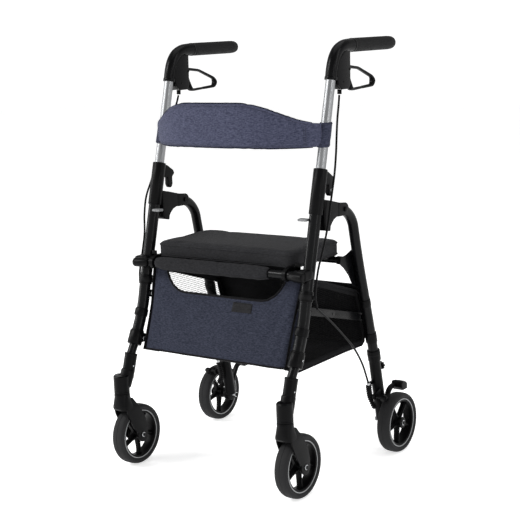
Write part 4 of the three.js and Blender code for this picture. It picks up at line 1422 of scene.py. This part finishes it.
# ---- basket ----
BASKET_HALF = 213
BASKET_LOW, BASKET_HIGH = 297, 492  # foot and top corners of the front
REAR_LOW, REAR_HIGH = 284, 434
CORNER = 18
BASKET_SIDE = [
    (-206, 297), (-149, 277), (48, 278), (133, 276), (144, 284), (145, 312), (118, 410), (107, 419),
    (-59, 474), (-139, 492), (-166, 404),
]
SCOOP_X = [0, 112, 130, 148, 160, 168, 171.5, 240]
SCOOP_Z = [437, 437, 440.5, 451, 465, 480, 492, 492]


def front_y(z):
    return float(np.interp(z, [BASKET_LOW, 404, BASKET_HIGH], [-206, -166, -139]))


def flare(z):
    """How much wider than its foot the basket is at this height, on each side."""
    return 10 * min(max((z - BASKET_LOW) / (BASKET_HIGH - BASKET_LOW), 0), 1) ** 2


def round_the_corner(s):
    """(x, y behind the front) at a distance s from the middle along the basket's front."""
    straight = BASKET_HALF - CORNER
    if abs(s) <= straight:
        return s, 0.0
    a = min((abs(s) - straight) / CORNER, math.pi / 2)
    return math.copysign(straight + CORNER * math.sin(a), s), CORNER * (1 - math.cos(a))


FRONT_REACH = BASKET_HALF - CORNER + CORNER * math.pi / 2


# Creases in the front, each from one (x, z) to another with its half width and depth.
CREASES = [
    ((198, 470), (128, 306), 9, 2.4),
    ((206, 430), (176, 300), 7, 2.0),
    ((150, 452), (60, 318), 13, 1.6),
    ((-196, 440), (-150, 310), 10, 1.6),
    ((-150, 440), (-40, 310), 16, 1.2),
]


def creased(x, z):
    """How far the creases draw the front cloth in at this place."""
    depth = 0.0
    for start, end, half_width, deep in CREASES:
        p, a, b = Vector((x, z)), Vector(start), Vector(end)
        share = min(max((p - a).dot(b - a) / (b - a).length_squared, 0), 1)
        gap = (p - a.lerp(b, share)).length
        depth += deep * math.exp(-((gap / half_width) ** 2)) * math.sin(math.pi * (0.1 + 0.8 * share))
    return depth


def front_panel_point(s, share):
    x, behind = round_the_corner(s)
    top = float(np.interp(abs(x), SCOOP_X, SCOOP_Z))
    z = BASKET_LOW + (top - BASKET_LOW) * share
    belly = 5 * math.sin(math.pi * min(share * 1.1, 1)) * max(0.0, 1 - (abs(s) / 214) ** 4)
    ripple = 1.8 * noise.noise(Vector((x / 70, z / 50, 3))) + 0.5 * noise.noise(Vector((x / 18, z / 34, 8)))
    inside = min(1.0, 6 * share, 6 * (1 - share))
    forward = belly + (ripple - creased(x, z)) * inside
    return at(x * (1 + flare(z) / BASKET_HALF), front_y(z) + behind - forward + 2, z)


def grid_sheet(name, columns, rows, point, material, thickness=1.4):
    """Cloth over point(u, v), with u and v from 0 to 1."""
    bm = bmesh.new()
    made = [[bm.verts.new(point(i / columns, j / rows)) for j in range(rows + 1)] for i in range(columns + 1)]
    quads(bm, made)
    return thickened(from_bmesh(name, bm, material, CLOTH_SHARP), thickness, 0)


def area_between(low, high, steps=200):
    """Area under high(x) for x from low to -low, for a cut that isn't a rectangle."""
    return sum(high(low + (i + 0.5) / steps * -2 * low) for i in range(steps)) * (-2 * low) / steps


LABEL_LEFT, LABEL_WIDTH = 37, 56
LABEL_FOOT, LABEL_HEIGHT = 407, 21


def basket_front():
    def point(u, v):
        return front_panel_point((2 * u - 1) * FRONT_REACH, v)

    # The front cloth takes the darker navy, which is painted shade.
    panel = grid_sheet("basket_front_look", 120, 34, point, NAVY_SHADED, 1.6)
    top = [front_panel_point((2 * i / 150 - 1) * FRONT_REACH, 1) for i in range(151)]
    top_edge = sweep("top_edge", top, circle(2.9, 12), TRIM_CLOTH, ends=1)
    foot = [front_panel_point((2 * i / 80 - 1) * FRONT_REACH, 0) for i in range(81)]
    foot_edge = sweep("foot_edge", foot, circle(2.4, 10), TRIM_CLOTH, ends=1)
    posts = []
    for s in (-1, 1):
        line = [front_panel_point(s * FRONT_REACH, j / 24) for j in range(25)]
        posts.append(sweep("corner_edge", line, circle(2.2, 10), NAVY_SHADED, ends=1))
    tree = surface_of(panel)
    row = top[5:146]
    inner_row = []
    for p, q in zip(row, row[1:]):
        along = (q - p).normalized()
        down = along.cross(Y)
        down = down if down.z < 0 else -down
        inner_row.append(p + down.normalized() * (7 * MM))
    hem = stitches("front_hem", on_surface(tree, [p - Y * 8 * MM for p in inner_row], 0.0004))
    trims = joined("basket_front_trim", top_edge, foot_edge, *posts, hem)

    def on_panel(u, v):
        x, z = LABEL_LEFT + LABEL_WIDTH * u, LABEL_FOOT + LABEL_HEIGHT * v
        return tree.ray_cast(at(x, front_y(z) - 30, z), Y)[0] - Y * 0.9 * MM

    bm = bmesh.new()
    quads(bm, [[bm.verts.new(on_panel(i / 16, j / 6)) for j in range(7)] for i in range(17)])
    return panel, trims, thickened(from_bmesh("basket_label", bm, LABEL_CLOTH, CLOTH_SHARP), 0.8)


front_cloth, front_trim, label = basket_front()
put(front_cloth, "frame", "navy_fabric", "basket")
put(front_trim, "frame", "navy_fabric")
put(label, "frame", "navy_fabric")
front_area = area_between(
    -FRONT_REACH,
    lambda s: (float(np.interp(abs(round_the_corner(s)[0]), SCOOP_X, SCOOP_Z)) - BASKET_LOW) * 1.06,
)


def side_x(y, z):
    """Distance of the basket's side from the middle, where the cloth pulls in between its edges."""
    along = min(max((y + 190) / 320, 0), 1)
    up_share = min(max((z - 280) / 170, 0), 1)
    return BASKET_HALF - 1.5 + flare(z) - 7 * math.sin(math.pi * along) * math.sin(math.pi * up_share)


def crossings(axis, value):
    """Where a line at this y (axis 0) or z (axis 1) meets the side's outline."""
    found = []
    for p, q in zip(BASKET_SIDE, [*BASKET_SIDE[1:], BASKET_SIDE[0]]):
        low, high = sorted((p[axis], q[axis]))
        if low <= value < high:
            share = (value - p[axis]) / (q[axis] - p[axis])
            found.append(p[1 - axis] + (q[1 - axis] - p[1 - axis]) * share)
    return sorted(found)


NET_PITCH, NET_CORD_R = 5.0, 0.5


def net(name, hand):
    bm = bmesh.new()

    def strand(points):
        rings = []
        for i, point in enumerate(points):
            ahead = points[min(i + 1, len(points) - 1)] - points[max(i - 1, 0)]
            u = X
            v = ahead.normalized().cross(u)
            corners = [point + arm * NET_CORD_R * MM for arm in (u, v, -u, -v)]
            rings.append([bm.verts.new(corner) for corner in corners])
        skin(bm, rings)

    total = 0.0
    for axis, first, last in ((0, -200, 142), (1, 282, 488)):
        value = first
        while value < last:
            ends = crossings(axis, value)
            if len(ends) >= 2 and ends[-1] - ends[0] > 16:
                low, high = ends[0] + 4, ends[-1] - 4
                count = max(2, round((high - low) / 14))
                points = []
                for i in range(count + 1):
                    other = low + (high - low) * i / count
                    y, z = (value, other) if axis == 0 else (other, value)
                    points.append(at(hand * side_x(y, z), y, z))
                strand(points)
                total += high - low
            value += NET_PITCH
    cords = from_bmesh(name, bm, NET_CORD, CLOTH_SHARP)
    return cords, total


SIDE_RAIL = [(-139, 492), (-100, 483), (-59, 474), (0, 454), (60, 434.5), (107, 419), (118, 410)]
SIDE_FOOT = [
    (-206, 297), (-178, 287), (-149, 277), (-80, 277.3), (0, 277.8), (48, 278), (133, 276), (144, 284),
    (145, 312), (132, 360), (118, 410),
]


def side_band(name, hand):
    """Cloth border round the net."""
    centre = Vector((-20, 370))
    outer = [Vector(p) for p in BASKET_SIDE]
    inner = []
    count = len(outer)
    for i, p in enumerate(outer):
        before, after = (p - outer[i - 1]).normalized(), (outer[(i + 1) % count] - p).normalized()
        normal = Vector((-(before.y + after.y), before.x + after.x)).normalized()
        if normal.dot(centre - p) < 0:
            normal = -normal
        spread = max(abs(normal.dot(Vector((-before.y, before.x)))), 0.5)
        inner.append(p + normal * (13 / spread))
    ring_out, ring_in = [], []
    for i in range(count):
        p, q, a, b = outer[i], outer[(i + 1) % count], inner[i], inner[(i + 1) % count]
        steps = max(1, round((q - p).length / 12))
        for k in range(steps):
            ring_out.append(p.lerp(q, k / steps))
            ring_in.append(a.lerp(b, k / steps))
    bm = bmesh.new()
    loops = []
    for share in (0, 0.5, 1):
        loop = []
        for p, q in zip(ring_out, ring_in):
            m = p.lerp(q, share)
            loop.append(bm.verts.new(at(hand * side_x(*m), *m)))
        loops.append(loop)
    skin(bm, loops, capped=False)
    cloth = thickened(from_bmesh(name, bm, BLACK_CLOTH, CLOTH_SHARP), 1.3, 0)
    length = sum((q - p).length for p, q in zip(ring_out, [*ring_out[1:], ring_out[0]]))
    top, foot = ([at(hand * side_x(y, z), y, z) for y, z in line] for line in (SIDE_RAIL, SIDE_FOOT))
    rail = sweep(name + "_rail", top, circle(3.1, 12), TRIM_CLOTH, ends=2)
    low_edge = sweep(name + "_foot", foot, circle(2.2, 10), TRIM_CLOTH, ends=1)
    return cloth, joined(name + "_trim", rail, low_edge), length


def across_fold(obj):
    """Bakes the placing of a piece of the basket into its mesh."""
    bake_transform(obj)


for hand, word in ((1, "left"), (-1, "right")):
    border, trim, around = side_band(f"basket_side_{word}", hand)
    cords, total = net(f"basket_net_{word}", hand)
    for piece in (border, trim, cords):
        across_fold(piece)


def basket_rear():
    """The rear panel, whose top corners reach out to the rear legs."""

    def point(u, v):
        z = REAR_LOW + (REAR_HIGH - REAR_LOW) * v
        x = (2 * u - 1) * float(np.interp(z, [REAR_LOW, 312], [211, 226]))
        y = float(np.interp(z, [REAR_LOW, 312, 410, REAR_HIGH], [144, 145, 118, 109]))
        sag = 4 * math.sin(math.pi * u) * math.sin(math.pi * v)
        return at(x, y + sag + 1.2 * noise.noise(Vector((x / 60, z / 50, 1))), z)

    panel = grid_sheet("basket_rear_look", 60, 30, point, BLACK_CLOTH, 1.4)
    line = [point(i / 60, 1) for i in range(61)]
    return panel, sweep("basket_rear_trim", line, circle(2.9, 12), TRIM_CLOTH, ends=1)


rear_cloth, rear_trim = basket_rear()
put(rear_cloth, "rear_frame", "navy_fabric")
put(rear_trim, "rear_frame", "navy_fabric")


def basket_floor():
    def point(u, v):
        x = (2 * u - 1) * (BASKET_HALF - 2.5)
        y = -204 + 348 * v
        z = float(np.interp(y, [-206, -149, 48, 133, 144], [297, 277.8, 278.6, 277, 284]))
        sag = 3 * math.sin(math.pi * u) * math.sin(math.pi * v)
        return at(x, y, z - sag + 0.8 * noise.noise(Vector((x / 50, y / 50, 6))))

    return grid_sheet("basket_floor_look", 50, 44, point, BLACK_CLOTH, 2.2)


floor_cloth = basket_floor()
across_fold(floor_cloth)


# ---- cables and bellows ----
UPPER_CABLE = [
    (240, 14.6, 903.5), (241, 10, 886), (246, -6, 850), (254, -24, 812), (260, -38, 775), (263, -52, 728),
    (263.5, -70, 672), (263.5, -88, 612), (263, -108, 566), (263, -132, 520), (263, -142, 488),
    (262.5, -147, 458), (262, -141, 432),
]
LOWER_CABLE = [
    (261.9, -140.2, 430.5), (260, -118, 415), (257, -78, 387), (252, -20, 343), (246, 40, 294),
    (241, 86, 241), (236, 120, 184),
]


def cable(name, points):
    path = curve_points([at(*p) for p in points], 0.005)
    return sweep(name, path, circle(2.5, 16), CABLE_SKIN)


def put_cable(obj, a, b, start, end, *nodes):
    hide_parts(*nodes)
    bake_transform(obj)


UPPER_CABLE_RIGHT = [
    (-240, 14.6, 903.5), (-242, 8, 884), (-250, -10, 842), (-258, -32, 798), (-262, -56, 748),
    (-263, -79, 702), (-264, -104, 658), (-264, -114, 616), (-264, -118, 568), (-263, -132, 520),
    (-263, -142, 488), (-262.5, -147, 458), (-262, -141, 432),
]
low_end, high_end = at(0, 0, 560), at(0, 0, 890)
for hand, points in (("left", UPPER_CABLE), ("right", UPPER_CABLE_RIGHT)):
    upper_cable = cable(f"brake_cable_upper_{hand}_look", points)
    put_cable(upper_cable, "frame", "handles", low_end, high_end, f"brake_cable_upper_{hand}")
lower_cable = cable("brake_cable_lower_left_look", LOWER_CABLE)
lower_twin = mirrored(lower_cable, "brake_cable_lower_right_look")
for hand, obj in (("left", lower_cable), ("right", lower_twin)):
    put_cable(obj, "frame", "rear_frame", at(0, -125, 0), at(0, 110, 0), f"brake_cable_lower_{hand}")


def bellows():
    path = curve_points([at(236, 121, 182), at(234, 126, 160), at(236, 133, 135), at(246, 133, 116)], 0.0011)
    ribs = 13

    def width(share):
        return 0.84 + 0.2 * math.cos(2 * math.pi * ribs * share) if 0.06 < share < 0.94 else 0.62

    tube = sweep("cable_bellows_left_look", path, circle(7.4, 28), SOFT_RUBBER, scale=width, sharp=70)
    top = disc("top", path[0], path[0] - path[1], 4.6, 7, ZINC, 0.8)
    bracket = side_plate(
        "bracket", [(122, 186), (122, 176), (146, 176), (152, 186)], -7, -4, BLACK_PAINT, 0.6
    )
    return joined("cable_bellows_left_look", tube, top, bracket)


put_pair(bellows(), "rear_frame", "bellows_rubber", "cable_bellows_left")


# ---- floor, light and world ----
floor_mesh = bpy.data.meshes.new("floor")
floor_mesh.from_pydata([(-12, -12, 0), (12, -12, 0), (12, 12, 0), (-12, 12, 0)], [], [(0, 1, 2, 3)])
floor_white = hard_material("floor_white", (0.9, 0.9, 0.9), 0.9, vary=0.004)
floor_shader = floor_white.node_tree.nodes["Principled BSDF"]
floor_shader.inputs["Emission Color"].default_value = (1, 1, 1, 1)
floor_shader.inputs["Emission Strength"].default_value = 0.55
floor_shader.inputs["Specular IOR Level"].default_value = 0.1
floor = as_object("floor", floor_mesh, floor_white)
floor.location.z = -0.0005
floor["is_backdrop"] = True

# White near the horizon, dimmer overhead, so that dark paint keeps its depth.
world = bpy.data.worlds.new("studio")
world.use_nodes = True
tree = world.node_tree
direction = tree.nodes.new("ShaderNodeTexCoord")
parts = tree.nodes.new("ShaderNodeSeparateXYZ")
fade = tree.nodes.new("ShaderNodeMapRange")
tree.links.new(direction.outputs["Generated"], parts.inputs["Vector"])
tree.links.new(parts.outputs["Z"], fade.inputs["Value"])
for key, number in (("From Min", 0.2), ("From Max", 0.5), ("To Min", 1.1), ("To Max", 0.4)):
    fade.inputs[key].default_value = number
backdrop = tree.nodes["Background"]
backdrop.inputs["Color"].default_value = (1, 1, 1, 1)
tree.links.new(fade.outputs["Result"], backdrop.inputs["Strength"])
scene.world = world


def softbox(name, place, target, size, power):
    data = bpy.data.lights.new(name, "AREA")
    data.shape = "RECTANGLE"
    data.size, data.size_y = size
    data.energy = power
    light = bpy.data.objects.new(name, data)
    scene.collection.objects.link(light)
    light.location = place
    light.rotation_euler = (Vector(target) - Vector(place)).to_track_quat("-Z", "Y").to_euler()
    return light


softbox("key", (-2.2, -2.6, 3.0), (0, 0, 0.5), (1.2, 1.2), 85)
softbox("rim", (2.6, 0.6, 2.2), (0, 0, 0.6), (0.8, 2.0), 20)
softbox("top", (0.2, 0.3, 3.4), (0, 0, 0.4), (2.4, 2.4), 30)
softbox("left_strip", (-2.6, -1.4, 1.1), (0, 0, 0.6), (0.35, 2.0), 34)
softbox("right_strip", (2.8, -0.9, 1.1), (0, 0, 0.6), (0.25, 2.0), 10)

scene.view_settings.view_transform = "Standard"


def plain(value):
    """Vectors and nested tuples as plain lists."""
    return [plain(v) for v in value] if hasattr(value, "__len__") else float(value)


VISUAL_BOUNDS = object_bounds()
{"cad": plain(CAD_BOUNDS), "visual": plain(VISUAL_BOUNDS)}
